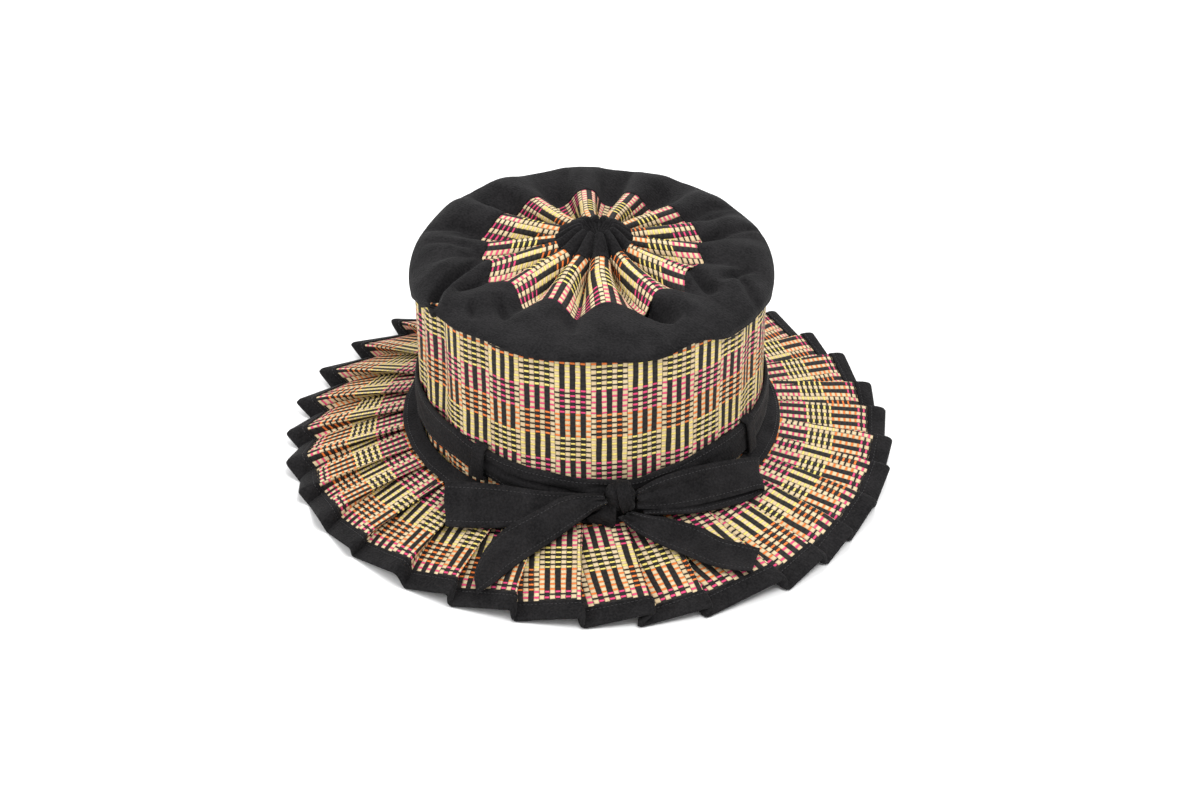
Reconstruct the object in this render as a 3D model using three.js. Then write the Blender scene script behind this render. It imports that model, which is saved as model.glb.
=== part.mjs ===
// A pleated sun hat woven from straw strips, trimmed with black cotton.
// Millimetres, +Z up. The origin is the centre of the base, on the surface that
// the brim rests on. -Y is the front, where the bow is. A bearing is an angle
// round the hat, in degrees: 0 at the front, growing towards +X.
import * as THREE from 'three';
import { mergeVertices } from 'three/addons/utils/BufferGeometryUtils.js';

// Driving sizes of the crown
const CROWN_RADIUS = 95;
const CROWN_WALL = 2;
const CROWN_FOOT_Z = 16;
const CROWN_TOP_Z = 114.5;
const CROWN_DROP = 0.5;
const CROWN_LEVELS = 3;
const CROWN_COLUMNS = 80;
const FIT_GAP = 0.4;

// Driving sizes of the brim. Its mat lies in knife pleats that all turn one way.
const PLEATS = 33;
const PLEAT_DRIFT_DEG = -1.5;
const PLEAT_SWING_DEG = 2.6;
const BRIM_INNER = CROWN_RADIUS + 0.6;
const BRIM_OUTER = 168.5;
const MAT_OUTER = 166.5;
const VALLEY_Z_OUTER = 3.1;
const VALLEY_RISE = 0.213;
const PLEAT_HEIGHT_INNER = 3;
const PLEAT_HEIGHT_OUTER = 7.5;
// The mat's underside lies this far back along the pleat and this far down
const MAT_BACK = 1.2;
const MAT_DOWN = 1.6;

// Binding folded over the brim's edge, in parts of the mat's own thickness
const BINDING_INNER = 157.2;
const MAT_STATIONS = [BRIM_INNER, 130, BINDING_INNER, MAT_OUTER];
const BINDING_SLOT_END = MAT_OUTER + 0.3;
const BINDING_GAP = 0.25;
const BINDING_TAPE = 0.7;

// Tape that covers the seam between crown and brim
const SEAM_INNER = CROWN_RADIUS + FIT_GAP;
const SEAM_OUTER = 105;
const SEAM_COLUMNS = 66;
const SEAM_TAPE = 1.3;
const SEAM_RISE = 1.4;
const SEAM_STEP = 2;

// Crown top: black shoulder, pleated rosette, gathered collar
const SHOULDER_WALL = 2;
const ROSETTE_WALL = 1.8;
const ROSETTE_INNER = 17.4;
const ROSETTE_REACH = 54.5;
const ROSETTE_LAP = 1.3;
const ROSETTE_LAP_END = 7;
const ROSETTE_LEAN = 0.7;
const ROSETTE_TOP_Z = 131.5;
const ROSETTE_EDGE_Z = 123.4;
const ROSETTE_INNER_SINK = 0.75;
const EDGE_GAP = 0.3;
const FOLD_STEPS = 3;
const COLLAR_LOBES = 14;
const COLLAR_STEPS = 3;
const COLLAR_FLUTE = 0.9;
const CORE_COLUMNS = 28;
const CORE_RADIUS = 6.4;
const CORE_FLUTE = 0.7;
const CORE_BOTTOM_Z = 125.4;
const CORE_RIM_Z = 131.6;
const CORE_DISH_Z = 130.2;
const CORE_DISH_INSET = 2.2;
const CORE_CENTRE_Z = 129;

// Tie, belt loops and bow
const TIE_INNER = CROWN_RADIUS + FIT_GAP;
const TIE_THICKNESS = 1.7;
const TIE_BULGE = 0.8;
const TIE_COLUMNS = 72;
const LOOP_WIDTH = 8;
const LOOP_THICKNESS = 1.3;
const LOOP_CLEARANCE = 0.5;
const LOOP_CORNER = 1;
const RIBBON_THICKNESS = 1.1;
const KNOT_CENTRE = [15.2, -103.8, 36.8];
const KNOT_HALF = [8, 6.2, 9.6];
const KNOT_WAIST = 0.1;
const KNOT_SIDES = 14;
const KNOT_BANDS = 9;

// How far the brim reaches from the axis at its ridges and its valleys: over the
// ears the valleys draw in, so that the pleats end as rounded leaves
const RIM = [
  { bearing: 0, ridge: 167.5, valley: 166.5 },
  { bearing: 20, ridge: 168.5, valley: 168.5 },
  { bearing: 36, ridge: 169.5, valley: 170 },
  { bearing: 60, ridge: 169, valley: 167 },
  { bearing: 90, ridge: 169, valley: 164.8 },
  { bearing: 112, ridge: 167, valley: 162.5 },
  { bearing: 128, ridge: 164.5, valley: 160.5 },
  { bearing: 150, ridge: 166.5, valley: 163.5 },
  { bearing: 180, ridge: 167.6, valley: 165.5 },
  { bearing: 208, ridge: 166.5, valley: 161 },
  { bearing: 229, ridge: 165.5, valley: 157 },
  { bearing: 241, ridge: 168, valley: 157.5 },
  { bearing: 252, ridge: 170, valley: 159 },
  { bearing: 264, ridge: 172, valley: 161.5 },
  { bearing: 280, ridge: 173, valley: 166 },
  { bearing: 300, ridge: 169, valley: 166 },
  { bearing: 322, ridge: 166.5, valley: 165.5 },
  { bearing: 345, ridge: 166.5, valley: 165.5 },
];

// Bearing of each fold of the crown top: its ridge, the valley after it, how deep
// that valley is, and how far the ridge's outer end stands above the front ones
const FOLDS = [
  { ridge: 8, valley: 26, depth: 5.6, rise: 0 },
  { ridge: 40, valley: 53, depth: 4.8, rise: 0 },
  { ridge: 66, valley: 81, depth: 4.8, rise: 0.6 },
  { ridge: 91, valley: 100, depth: 4.6, rise: 2.4 },
  { ridge: 110, valley: 120, depth: 8.5, rise: 4.4 },
  { ridge: 131, valley: 146, depth: 12, rise: 4.6 },
  { ridge: 158, valley: 171, depth: 13.8, rise: 4.6 },
  { ridge: 183, valley: 197, depth: 13.2, rise: 4.6 },
  { ridge: 213, valley: 225, depth: 12, rise: 4.6 },
  { ridge: 238, valley: 253, depth: 9, rise: 4.2 },
  { ridge: 268, valley: 276, depth: 3.2, rise: 1.6 },
  { ridge: 284, valley: 297, depth: 4.8, rise: 0 },
  { ridge: 310, valley: 326, depth: 5.6, rise: 0 },
  { ridge: 338, valley: 353, depth: 5.4, rise: 0 },
];

// Height of the shoulder's lower edge: it hangs lowest over the ears
const HEM = [
  { bearing: 0, z: 115.2 },
  { bearing: 20, z: 113 },
  { bearing: 33, z: 117 },
  { bearing: 48, z: 110.4 },
  { bearing: 66, z: 109 },
  { bearing: 80, z: 105 },
  { bearing: 115, z: 107.5 },
  { bearing: 180, z: 111.5 },
  { bearing: 245, z: 107.5 },
  { bearing: 278, z: 104.5 },
  { bearing: 292, z: 111 },
  { bearing: 303.5, z: 119.5 },
  { bearing: 307, z: 117 },
  { bearing: 314, z: 116.4 },
  { bearing: 326, z: 117.8 },
  { bearing: 341, z: 114.6 },
];

// How much higher the shoulder stands round the back than at the front
const RISE = [
  { bearing: 0, z: 0 },
  { bearing: 80, z: 0 },
  { bearing: 105, z: 2.2 },
  { bearing: 124, z: 2.4 },
  { bearing: 145, z: 3.8 },
  { bearing: 170, z: 3.8 },
  { bearing: 186, z: 4.8 },
  { bearing: 203, z: 4.3 },
  { bearing: 220, z: 5.8 },
  { bearing: 235, z: 5 },
  { bearing: 252, z: 2.8 },
  { bearing: 275, z: 0 },
];

// Shoulder profile from the rosette's edge out to the hem. fold is the share of
// the fold's depth that reaches there, drop the share of the hem's own drop, rise
// the share of the rise at the back, and back and down point from the outer to the
// inner face.
const SHOULDER = [
  { r: 0, z: 123.4, fold: 1, drop: 0, rise: 0, back: 0, down: 1 },
  { r: 72, z: 124.2, fold: 0.78, drop: 0, rise: 0.85, back: 0.08, down: 1 },
  { r: 83.5, z: 122.4, fold: 0.42, drop: 0.06, rise: 1, back: 0.3, down: 0.95 },
  { r: 92.5, z: 119.5, fold: 0.16, drop: 0.25, rise: 1, back: 0.62, down: 0.78 },
  { r: 97.6, z: 116, fold: 0.03, drop: 0.5, rise: 0.8, back: 0.92, down: 0.4 },
  { r: 97.4, z: 112, fold: 0, drop: 1, rise: 0, back: 1, down: 0 },
];
const HEM_MEAN_Z = 112;

// Soft creases that press the crown's side inwards
const CREASES = [
  { bearing: -73, depth: 2.6, spread: 3.5 },
  { bearing: -58, depth: 4.2, spread: 4.5 },
  { bearing: -36, depth: 1.4, spread: 4 },
  { bearing: -14, depth: 0.7, spread: 4 },
  { bearing: 21, depth: 0.9, spread: 3 },
  { bearing: 48, depth: 1.3, spread: 4 },
  { bearing: 63, depth: 1.8, spread: 4 },
  { bearing: 84, depth: 1.5, spread: 5 },
  { bearing: 118, depth: 1.2, spread: 5 },
  { bearing: 152, depth: 1.5, spread: 5 },
  { bearing: 196, depth: 1.3, spread: 5 },
  { bearing: 236, depth: 1.6, spread: 5 },
];

// Lower and upper edge of the tie round the crown
const TIE = [
  { bearing: 0, low: 27.2, high: 42 },
  { bearing: 13, low: 27.6, high: 40 },
  { bearing: 24, low: 27.4, high: 43.5 },
  { bearing: 43, low: 26.8, high: 47.8 },
  { bearing: 60, low: 27.3, high: 48 },
  { bearing: 90, low: 27.3, high: 49 },
  { bearing: 136, low: 29.5, high: 50 },
  { bearing: 200, low: 30, high: 50.5 },
  { bearing: 248, low: 29, high: 50.5 },
  { bearing: 292, low: 30.5, high: 52 },
  { bearing: 310, low: 33, high: 51.5 },
  { bearing: 321, low: 31.5, high: 48.7 },
  { bearing: 326, low: 31.4, high: 48 },
  { bearing: 334, low: 27.8, high: 46.6 },
  { bearing: 341, low: 27, high: 45.3 },
];

const BELT_LOOPS = [
  { name: 'belt_loop_front_left', bearing: 323 },
  { name: 'belt_loop_front_right', bearing: 59.5 },
  { name: 'belt_loop_back_right', bearing: 136 },
  { name: 'belt_loop_back_left', bearing: 248 },
];

// Each row is a section of a ribbon: its lower and its upper edge
const LEFT_LOOP = [
  { low: [6.8, -105.4, 30.6], high: [6.8, -103.6, 38.8] },
  { low: [-10, -107.5, 26], high: [-9, -102.8, 38.2] },
  { low: [-27, -108.6, 23.4], high: [-27, -99.8, 37.6] },
  { low: [-45, -110, 21.4], high: [-45, -93.8, 36.6] },
  { low: [-61, -109, 20.4], high: [-61, -90, 35.6] },
  { low: [-72.6, -107.2, 19.7], high: [-73, -87.4, 34.4] },
  { low: [-75.8, -105.4, 18.7], high: [-76.4, -85.6, 33] },
  { low: [-72.6, -103.6, 18.1], high: [-73, -83.8, 31.6] },
  { low: [-60, -104.4, 18.7], high: [-60, -86, 32.4] },
  { low: [-44, -104.8, 20], high: [-44, -90.2, 33.6] },
  { low: [-27, -103.2, 24.6], high: [-27, -96, 34.8] },
  { low: [-10, -103.2, 27.6], high: [-10, -99.9, 35.2] },
  { low: [3.4, -102.4, 29.4], high: [3.6, -100.8, 35] },
];
const RIGHT_LOOP = [
  { low: [23.7, -105.4, 30.2], high: [23.7, -102.8, 40.2] },
  { low: [38, -100.6, 26.4], high: [36, -95.4, 43] },
  { low: [56, -95.4, 25.4], high: [53.6, -86.6, 43.2] },
  { low: [76, -86, 24.2], high: [72, -75, 39] },
  { low: [88, -79, 22.8], high: [84.4, -66.4, 34.6] },
  { low: [91, -77, 20.8], high: [88.4, -63.4, 31.6] },
  { low: [89.4, -78.6, 19.3], high: [87.6, -63.8, 28.6] },
  { low: [78, -87, 19.6], high: [78, -66.6, 28.6] },
  { low: [58, -97, 21.4], high: [56, -84.2, 30] },
  { low: [40, -102.6, 24], high: [38, -94.6, 32] },
  { low: [27.2, -105, 25.8], high: [27, -101, 31.6] },
];
const LEFT_TAIL = [
  { low: [8.6, -110, 37.4], high: [6.4, -108.4, 40.8] },
  { low: [3.6, -110.6, 34.4], high: [-3.1, -106.8, 40.2] },
  { low: [-5.7, -112.4, 27], high: [-14.8, -106.4, 38.2] },
  { low: [-19.7, -119.4, 19.8], high: [-25.8, -107.2, 32] },
  { low: [-33.3, -129.9, 17.1], high: [-40.8, -111.6, 25] },
  { low: [-41.6, -137.6, 15.4], high: [-47.9, -114.4, 20.8] },
  { low: [-49, -145.8, 14], high: [-54.6, -122.9, 17.5] },
  { low: [-53.8, -150.6, 14.1], high: [-58.6, -134.9, 15.4] },
  { low: [-57.4, -154.8, 14], high: [-59.4, -142.6, 14.5] },
];
const RIGHT_TAIL = [
  { low: [13.8, -110.6, 28.4], high: [21.8, -109.4, 31] },
  { low: [21.4, -113.6, 22.8], high: [30.4, -107.6, 27.4] },
  { low: [32.8, -119.8, 19.2], high: [40, -105.6, 23.8] },
  { low: [48, -127.6, 16.8], high: [56.7, -108.2, 19.6] },
  { low: [61.6, -134.2, 15.2], high: [68, -115.2, 17.6] },
  { low: [73.1, -137.2, 14.6], high: [77.5, -117.6, 16.4] },
  { low: [81.6, -138, 14.8], high: [87, -120.4, 15.2] },
];
const LOOP_SECTIONS = 25;
const TAIL_SECTIONS = 12;

const radians = THREE.MathUtils.degToRad;

// A point at a bearing, a distance from the axis and a height, moved along the
// circle by shift millimetres
function polar(bearing, radius, z, shift = 0) {
  const angle = radians(bearing);
  return new THREE.Vector3(
    radius * Math.sin(angle) + shift * Math.cos(angle),
    -radius * Math.cos(angle) + shift * Math.sin(angle),
    z,
  );
}

// Smooth value of one column of a table whose rows go once round the hat
function roundTable(rows, column, bearing) {
  const turn = ((bearing % 360) + 360) % 360;
  const after = rows.findIndex((row) => row.bearing > turn);
  const high = after < 0 ? 0 : after;
  const low = (high + rows.length - 1) % rows.length;
  const span = (rows[high].bearing - rows[low].bearing + 360) % 360;
  const part = ((turn - rows[low].bearing + 360) % 360) / span;
  const blend = (1 - Math.cos(Math.PI * part)) / 2;
  return rows[low][column] * (1 - blend) + rows[high][column] * blend;
}

// Closed geometry from vertices and triangles, its faces turned outwards
function closedGeometry(vertices, triangles) {
  const sixfold = triangles.reduce((sum, [a, b, c]) => {
    const normal = new THREE.Vector3().crossVectors(vertices[b], vertices[c]);
    return sum + vertices[a].dot(normal);
  }, 0);
  const facing = sixfold < 0 ? triangles.map(([a, b, c]) => [a, c, b]) : triangles;
  const geometry = new THREE.BufferGeometry();
  const numbers = vertices.flatMap((vertex) => vertex.toArray());
  geometry.setAttribute('position', new THREE.Float32BufferAttribute(numbers, 3));
  geometry.setIndex(facing.flat());
  return geometry;
}

// Two triangles for the patch between two neighbouring sections
function patch(here, next, step, stepNext) {
  return [
    [here + step, next + step, next + stepNext],
    [here + step, next + stepNext, here + stepNext],
  ];
}

// Solid that goes right round the hat: every section is a closed outline
function ringSolid(sections) {
  const size = sections[0].length;
  const triangles = [];
  sections.forEach((_, index) => {
    const next = (index + 1) % sections.length;
    for (let step = 0; step < size; step += 1) {
      triangles.push(...patch(index * size, next * size, step, (step + 1) % size));
    }
  });
  return closedGeometry(sections.flat(), triangles);
}

// Solid along a ribbon: closed outlines with a flat cap at each end
function stripSolid(sections) {
  const size = sections[0].length;
  const triangles = [];
  for (let index = 0; index < sections.length - 1; index += 1) {
    for (let step = 0; step < size; step += 1) {
      triangles.push(...patch(index * size, (index + 1) * size, step, (step + 1) % size));
    }
  }
  const last = (sections.length - 1) * size;
  for (let step = 1; step < size - 1; step += 1) {
    triangles.push([0, step, step + 1], [last, last + step + 1, last + step]);
  }
  return closedGeometry(sections.flat(), triangles);
}

function mesh(name, geometry, material) {
  const piece = new THREE.Mesh(geometry, material);
  piece.name = name;
  return piece;
}

function wovenStraw(name, color) {
  return new THREE.MeshStandardMaterial({ name, color, roughness: 0.72, metalness: 0 });
}

function blackCotton() {
  return new THREE.MeshStandardMaterial({
    name: 'black_cotton', color: 0x1d1c1e, roughness: 0.93, metalness: 0,
  });
}

// Columns of the brim: four to a pleat. lift goes from the valley, 0, up a long
// slope to the ridge, 1, and the next column is the foot of the steep step.
function pleatColumns() {
  const shape = [
    { along: 0, lift: 0 },
    { along: 0.45, lift: 0.56 },
    { along: 0.86, lift: 0.97 },
    { along: 0.98, lift: 1 },
  ];
  const pitch = 360 / PLEATS;
  return Array.from({ length: PLEATS }, (_, pleat) => shape.map(({ along, lift }) => {
    const even = (pleat + along) * pitch;
    const drift = PLEAT_DRIFT_DEG + PLEAT_SWING_DEG * Math.sin(radians(2 * even));
    return { bearing: even + drift, lift };
  })).flat();
}

// Distance from the axis of a point of the brim: the rim's reach at its column is
// shared out from the crown, 0, to the edge, with the square of the way there
function reach(bearing, lift, radius) {
  const ridge = roundTable(RIM, 'ridge', bearing);
  const valley = roundTable(RIM, 'valley', bearing);
  const more = THREE.MathUtils.lerp(valley, ridge, lift) - BRIM_OUTER;
  return radius + more * ((radius - BRIM_INNER) / (BRIM_OUTER - BRIM_INNER)) ** 2;
}

// Height of the mat's upper face: a shallow cone of valleys with ridges on it
function brimTop(radius, lift) {
  const out = (radius - BRIM_INNER) / (BRIM_OUTER - BRIM_INNER);
  const height = THREE.MathUtils.lerp(PLEAT_HEIGHT_INNER, PLEAT_HEIGHT_OUTER, out);
  return VALLEY_Z_OUTER + VALLEY_RISE * (BRIM_OUTER - radius) + height * lift;
}

// A point at some depth through the mat: 0 is its upper face, 1 its underside
function brimPoint({ bearing, lift }, radius, depth) {
  const z = brimTop(radius, lift) - MAT_DOWN * depth;
  return polar(bearing, reach(bearing, lift, radius), z, -MAT_BACK * depth);
}

function brim() {
  const sections = pleatColumns().map((column) => [
    ...MAT_STATIONS.map((radius) => brimPoint(column, radius, 0)),
    ...MAT_STATIONS.map((radius) => brimPoint(column, radius, 1)).reverse(),
  ]);
  return mesh('brim', ringSolid(sections), wovenStraw('brim_mat', 0xa88a52));
}

// The binding is a folded tape with the mat's edge in its slot
function brimBinding() {
  const outlineRows = [
    { radius: BINDING_INNER, depth: -BINDING_GAP - BINDING_TAPE },
    { radius: BRIM_OUTER, depth: -BINDING_GAP - BINDING_TAPE },
    { radius: BRIM_OUTER, depth: 1 + BINDING_GAP + BINDING_TAPE },
    { radius: BINDING_INNER, depth: 1 + BINDING_GAP + BINDING_TAPE },
    { radius: BINDING_INNER, depth: 1 + BINDING_GAP },
    { radius: BINDING_SLOT_END, depth: 1 + BINDING_GAP },
    { radius: BINDING_SLOT_END, depth: -BINDING_GAP },
    { radius: BINDING_INNER, depth: -BINDING_GAP },
  ];
  const sections = pleatColumns().map((column) => (
    outlineRows.map(({ radius, depth }) => brimPoint(column, radius, depth))
  ));
  return mesh('brim_binding', ringSolid(sections), blackCotton());
}

// Flat tape that lies on the pleats' ridges where they meet the crown
function brimSeamBand() {
  const sections = Array.from({ length: SEAM_COLUMNS }, (_, index) => {
    const bearing = (index * 360) / SEAM_COLUMNS;
    const inner = brimTop(SEAM_INNER, 1) + FIT_GAP;
    const outer = brimTop(SEAM_OUTER, 1) + FIT_GAP;
    return [
      polar(bearing, SEAM_INNER, inner),
      polar(bearing, SEAM_OUTER, outer),
      polar(bearing, SEAM_OUTER, outer + SEAM_TAPE),
      polar(bearing, SEAM_INNER + SEAM_STEP, inner + SEAM_TAPE),
      polar(bearing, SEAM_INNER, inner + SEAM_TAPE + SEAM_RISE),
    ];
  });
  return mesh('brim_seam_band', ringSolid(sections), blackCotton());
}

// How far the shoulder's hem hangs below its mean height at a bearing
function hemDrop(bearing) {
  return HEM_MEAN_Z - roundTable(HEM, 'z', bearing);
}

// How far the crown's side is pressed in at a bearing
function creaseDepth(bearing) {
  return CREASES.reduce((sum, crease) => {
    const away = ((bearing - crease.bearing + 540) % 360) - 180;
    return sum + crease.depth * Math.exp(-((away / crease.spread) ** 2));
  }, 0);
}

// The side's top edge follows the hem at CROWN_DROP of its fall
function crownSide() {
  const sections = Array.from({ length: CROWN_COLUMNS }, (_, index) => {
    const bearing = (index * 360) / CROWN_COLUMNS;
    const radius = CROWN_RADIUS - creaseDepth(bearing);
    const top = CROWN_TOP_Z - hemDrop(bearing) * CROWN_DROP;
    const heights = Array.from({ length: CROWN_LEVELS }, (_step, level) => (
      THREE.MathUtils.lerp(CROWN_FOOT_Z, top, level / (CROWN_LEVELS - 1))
    ));
    return [
      ...heights.map((z) => polar(bearing, radius, z)),
      ...heights.map((z) => polar(bearing, radius - CROWN_WALL, z)).reverse(),
    ];
  });
  return mesh('crown_side', ringSolid(sections), wovenStraw('crown_mat', 0xb49658));
}

// Columns of the crown top: from each ridge to its valley and on to the next
// ridge. sink is the depth below the ridge line there and rise the ridge's own.
function foldColumns() {
  return FOLDS.flatMap((fold, index) => {
    const next = FOLDS[(index + 1) % FOLDS.length];
    const nextRidge = next.ridge + (next.ridge < fold.ridge ? 360 : 0);
    const halves = [
      { from: fold.ridge, to: fold.valley, start: 0 },
      { from: fold.valley, to: nextRidge, start: 1 },
    ];
    return halves.flatMap(({ from, to, start }) => (
      Array.from({ length: FOLD_STEPS }, (_, step) => {
        const part = step / FOLD_STEPS;
        const share = (1 - Math.cos(Math.PI * (start + part))) / 2;
        const rise = THREE.MathUtils.lerp(fold.rise, next.rise, (start + part) / 2);
        return { bearing: from + (to - from) * part, sink: fold.depth * share, rise };
      })
    ));
  });
}

// The rosette reaches further out where its edge dips into a valley, the less so
// the more its ridges rise there, and further out where they rise
function rosetteEdge({ sink, rise }) {
  const lap = ROSETTE_LAP * (1 - rise / ROSETTE_LAP_END);
  return ROSETTE_REACH + lap * sink + ROSETTE_LEAN * rise;
}

function rosette() {
  const stations = [0, 0.35, 0.7, 1];
  const sections = foldColumns().map((column) => {
    const edge = rosetteEdge(column) - EDGE_GAP;
    const place = (part, drop) => polar(
      column.bearing,
      THREE.MathUtils.lerp(ROSETTE_INNER, edge, part),
      THREE.MathUtils.lerp(ROSETTE_TOP_Z, ROSETTE_EDGE_Z + column.rise, part) - drop
        - column.sink * THREE.MathUtils.lerp(ROSETTE_INNER_SINK, 1, part),
    );
    return [
      ...stations.map((part) => place(part, 0)),
      ...stations.map((part) => place(part, ROSETTE_WALL)).reverse(),
    ];
  });
  return mesh('rosette', ringSolid(sections), wovenStraw('rosette_mat', 0xb8975a));
}

// A point of the shoulder, on its outer face or, at depth 1, its inner face. The
// profile's first row lies at the rosette's edge.
function shoulderPoint(row, column, depth) {
  const { bearing, sink, rise } = column;
  const edge = row.r === 0 ? { r: rosetteEdge(column), lift: rise } : { r: row.r, lift: 0 };
  const lift = edge.lift + roundTable(RISE, 'z', bearing) * row.rise - hemDrop(bearing) * row.drop;
  const z = row.z + lift - sink * row.fold - SHOULDER_WALL * row.down * depth;
  return polar(bearing, edge.r - SHOULDER_WALL * row.back * depth, z);
}

function crownShoulder() {
  const sections = foldColumns().map((column) => [
    ...SHOULDER.map((row) => shoulderPoint(row, column, 0)),
    ...SHOULDER.map((row) => shoulderPoint(row, column, 1)).reverse(),
  ]);
  return mesh('crown_shoulder', ringSolid(sections), blackCotton());
}

// Stuffed ring of gathered cotton. flute is how much of the lobes a row shows.
function collar() {
  const outlineRows = [
    { r: 17, z: 131.9, flute: 0 },
    { r: 19.4, z: 131.5, flute: 0 },
    { r: 19.8, z: 132.8, flute: 0.5 },
    { r: 17.2, z: 135.2, flute: 1 },
    { r: 12.8, z: 138.2, flute: 1 },
    { r: 9, z: 139.9, flute: 0.7 },
    { r: 7.1, z: 135.6, flute: 0.2 },
    { r: 6.9, z: 124.8, flute: 0 },
    { r: 16.8, z: 124.8, flute: 0 },
  ];
  const columns = COLLAR_LOBES * COLLAR_STEPS;
  const sections = Array.from({ length: columns }, (_, index) => {
    const bearing = (index * 360) / columns;
    const dent = index % COLLAR_STEPS === 0 ? COLLAR_FLUTE : 0;
    return outlineRows.map(({ r, z, flute }) => polar(bearing, r, z - dent * flute));
  });
  return mesh('collar', ringSolid(sections), blackCotton());
}

// Plug of gathered cotton that closes the hole in the collar
function gatheredCore() {
  const rim = (z, inset) => Array.from({ length: CORE_COLUMNS }, (_, index) => {
    const flute = index % 2 === 0 ? 0 : CORE_FLUTE;
    return polar((index * 360) / CORE_COLUMNS, CORE_RADIUS - inset - flute, z);
  });
  const rings = [rim(CORE_BOTTOM_Z, 0), rim(CORE_RIM_Z, 0), rim(CORE_DISH_Z, CORE_DISH_INSET)];
  const vertices = rings.flat();
  const triangles = [];
  for (let index = 0; index < CORE_COLUMNS; index += 1) {
    const next = (index + 1) % CORE_COLUMNS;
    for (let ring = 0; ring < rings.length - 1; ring += 1) {
      triangles.push(...patch(ring * CORE_COLUMNS, (ring + 1) * CORE_COLUMNS, index, next));
    }
    triangles.push([vertices.length, index, next]);
    const top = (rings.length - 1) * CORE_COLUMNS;
    triangles.push([vertices.length + 1, top + next, top + index]);
  }
  const centres = [CORE_BOTTOM_Z, CORE_CENTRE_Z].map((z) => new THREE.Vector3(0, 0, z));
  vertices.push(...centres);
  return mesh('gathered_core', closedGeometry(vertices, triangles), blackCotton());
}

function tieBand() {
  const sections = Array.from({ length: TIE_COLUMNS }, (_, index) => {
    const bearing = (index * 360) / TIE_COLUMNS;
    const low = roundTable(TIE, 'low', bearing);
    const high = roundTable(TIE, 'high', bearing);
    const outer = TIE_INNER + TIE_THICKNESS;
    return [
      polar(bearing, TIE_INNER, low),
      polar(bearing, outer, low),
      polar(bearing, outer + TIE_BULGE, (low + high) / 2),
      polar(bearing, outer, high),
      polar(bearing, TIE_INNER, high),
    ];
  });
  return mesh('tie_band', ringSolid(sections), blackCotton());
}

// Strap over the tie: its outline is drawn in distance from the axis and height,
// extruded to its width and stood at its bearing
function beltLoop({ name, bearing }) {
  const low = roundTable(TIE, 'low', bearing) - LOOP_CLEARANCE;
  const high = roundTable(TIE, 'high', bearing) + LOOP_CLEARANCE;
  const inner = TIE_INNER + TIE_THICKNESS + TIE_BULGE + LOOP_CLEARANCE;
  const outer = inner + LOOP_THICKNESS;
  const outline = new THREE.Shape();
  outline.moveTo(SEAM_INNER, low - LOOP_THICKNESS);
  outline.lineTo(outer - LOOP_CORNER, low - LOOP_THICKNESS);
  outline.lineTo(outer, low);
  outline.lineTo(outer, high);
  outline.lineTo(outer - LOOP_CORNER, high + LOOP_THICKNESS);
  outline.lineTo(SEAM_INNER, high + LOOP_THICKNESS);
  outline.lineTo(SEAM_INNER, high);
  outline.lineTo(inner, high);
  outline.lineTo(inner, low);
  outline.lineTo(SEAM_INNER, low);
  const geometry = new THREE.ExtrudeGeometry(outline, {
    depth: LOOP_WIDTH, bevelEnabled: false, steps: 1,
  });
  geometry.translate(0, 0, -LOOP_WIDTH / 2);
  geometry.rotateX(Math.PI / 2);
  geometry.rotateZ(radians(bearing - 90));
  return mesh(name, geometry, blackCotton());
}

// The knot is a lump with a slight waist where the ribbon is wrapped round it
function bowKnot() {
  const geometry = new THREE.SphereGeometry(1, KNOT_SIDES, KNOT_BANDS);
  geometry.deleteAttribute('normal');
  geometry.deleteAttribute('uv');
  const closed = mergeVertices(geometry);
  const position = closed.getAttribute('position');
  const point = new THREE.Vector3();
  for (let index = 0; index < position.count; index += 1) {
    point.fromBufferAttribute(position, index);
    const waist = 1 - KNOT_WAIST * (1 - point.x * point.x);
    position.setXYZ(index, point.x, point.y, point.z * waist);
  }
  closed.scale(...KNOT_HALF);
  closed.translate(...KNOT_CENTRE);
  return mesh('bow_knot', closed, blackCotton());
}

// Flat ribbon through the rows of a table, with its thickness across its face
function ribbon(name, rows, count) {
  const edges = ['low', 'high'].map((edge) => (
    new THREE.CatmullRomCurve3(rows.map((row) => new THREE.Vector3(...row[edge])))
  ));
  const samples = Array.from({ length: count }, (_, index) => {
    const part = index / (count - 1);
    return edges.map((curve) => curve.getPoint(part));
  });
  const middle = ([low, high]) => low.clone().add(high).multiplyScalar(0.5);
  const sections = samples.map(([low, high], index) => {
    const before = middle(samples[Math.max(index - 1, 0)]);
    const after = middle(samples[Math.min(index + 1, count - 1)]);
    const across = high.clone().sub(low);
    const normal = after.sub(before).cross(across).normalize();
    const half = normal.multiplyScalar(RIBBON_THICKNESS / 2);
    return [
      low.clone().add(half), high.clone().add(half),
      high.clone().sub(half), low.clone().sub(half),
    ];
  });
  return mesh(name, stripSolid(sections), blackCotton());
}

const hat = new THREE.Group();
hat.name = 'pleated_sun_hat';

const crown = new THREE.Group();
crown.add(crownSide(), crownShoulder(), rosette(), collar(), gatheredCore());

const brimGroup = new THREE.Group();
brimGroup.add(brim(), brimBinding(), brimSeamBand());

const trim = new THREE.Group();
trim.add(tieBand(), ...BELT_LOOPS.map(beltLoop));

const bow = new THREE.Group();
bow.add(
  bowKnot(),
  ribbon('bow_loop_left', LEFT_LOOP, LOOP_SECTIONS),
  ribbon('bow_loop_right', RIGHT_LOOP, LOOP_SECTIONS),
  ribbon('bow_tail_left', LEFT_TAIL, TAIL_SECTIONS),
  ribbon('bow_tail_right', RIGHT_TAIL, TAIL_SECTIONS),
);

hat.add(crown, brimGroup, trim, bow);

export default hat;
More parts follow.
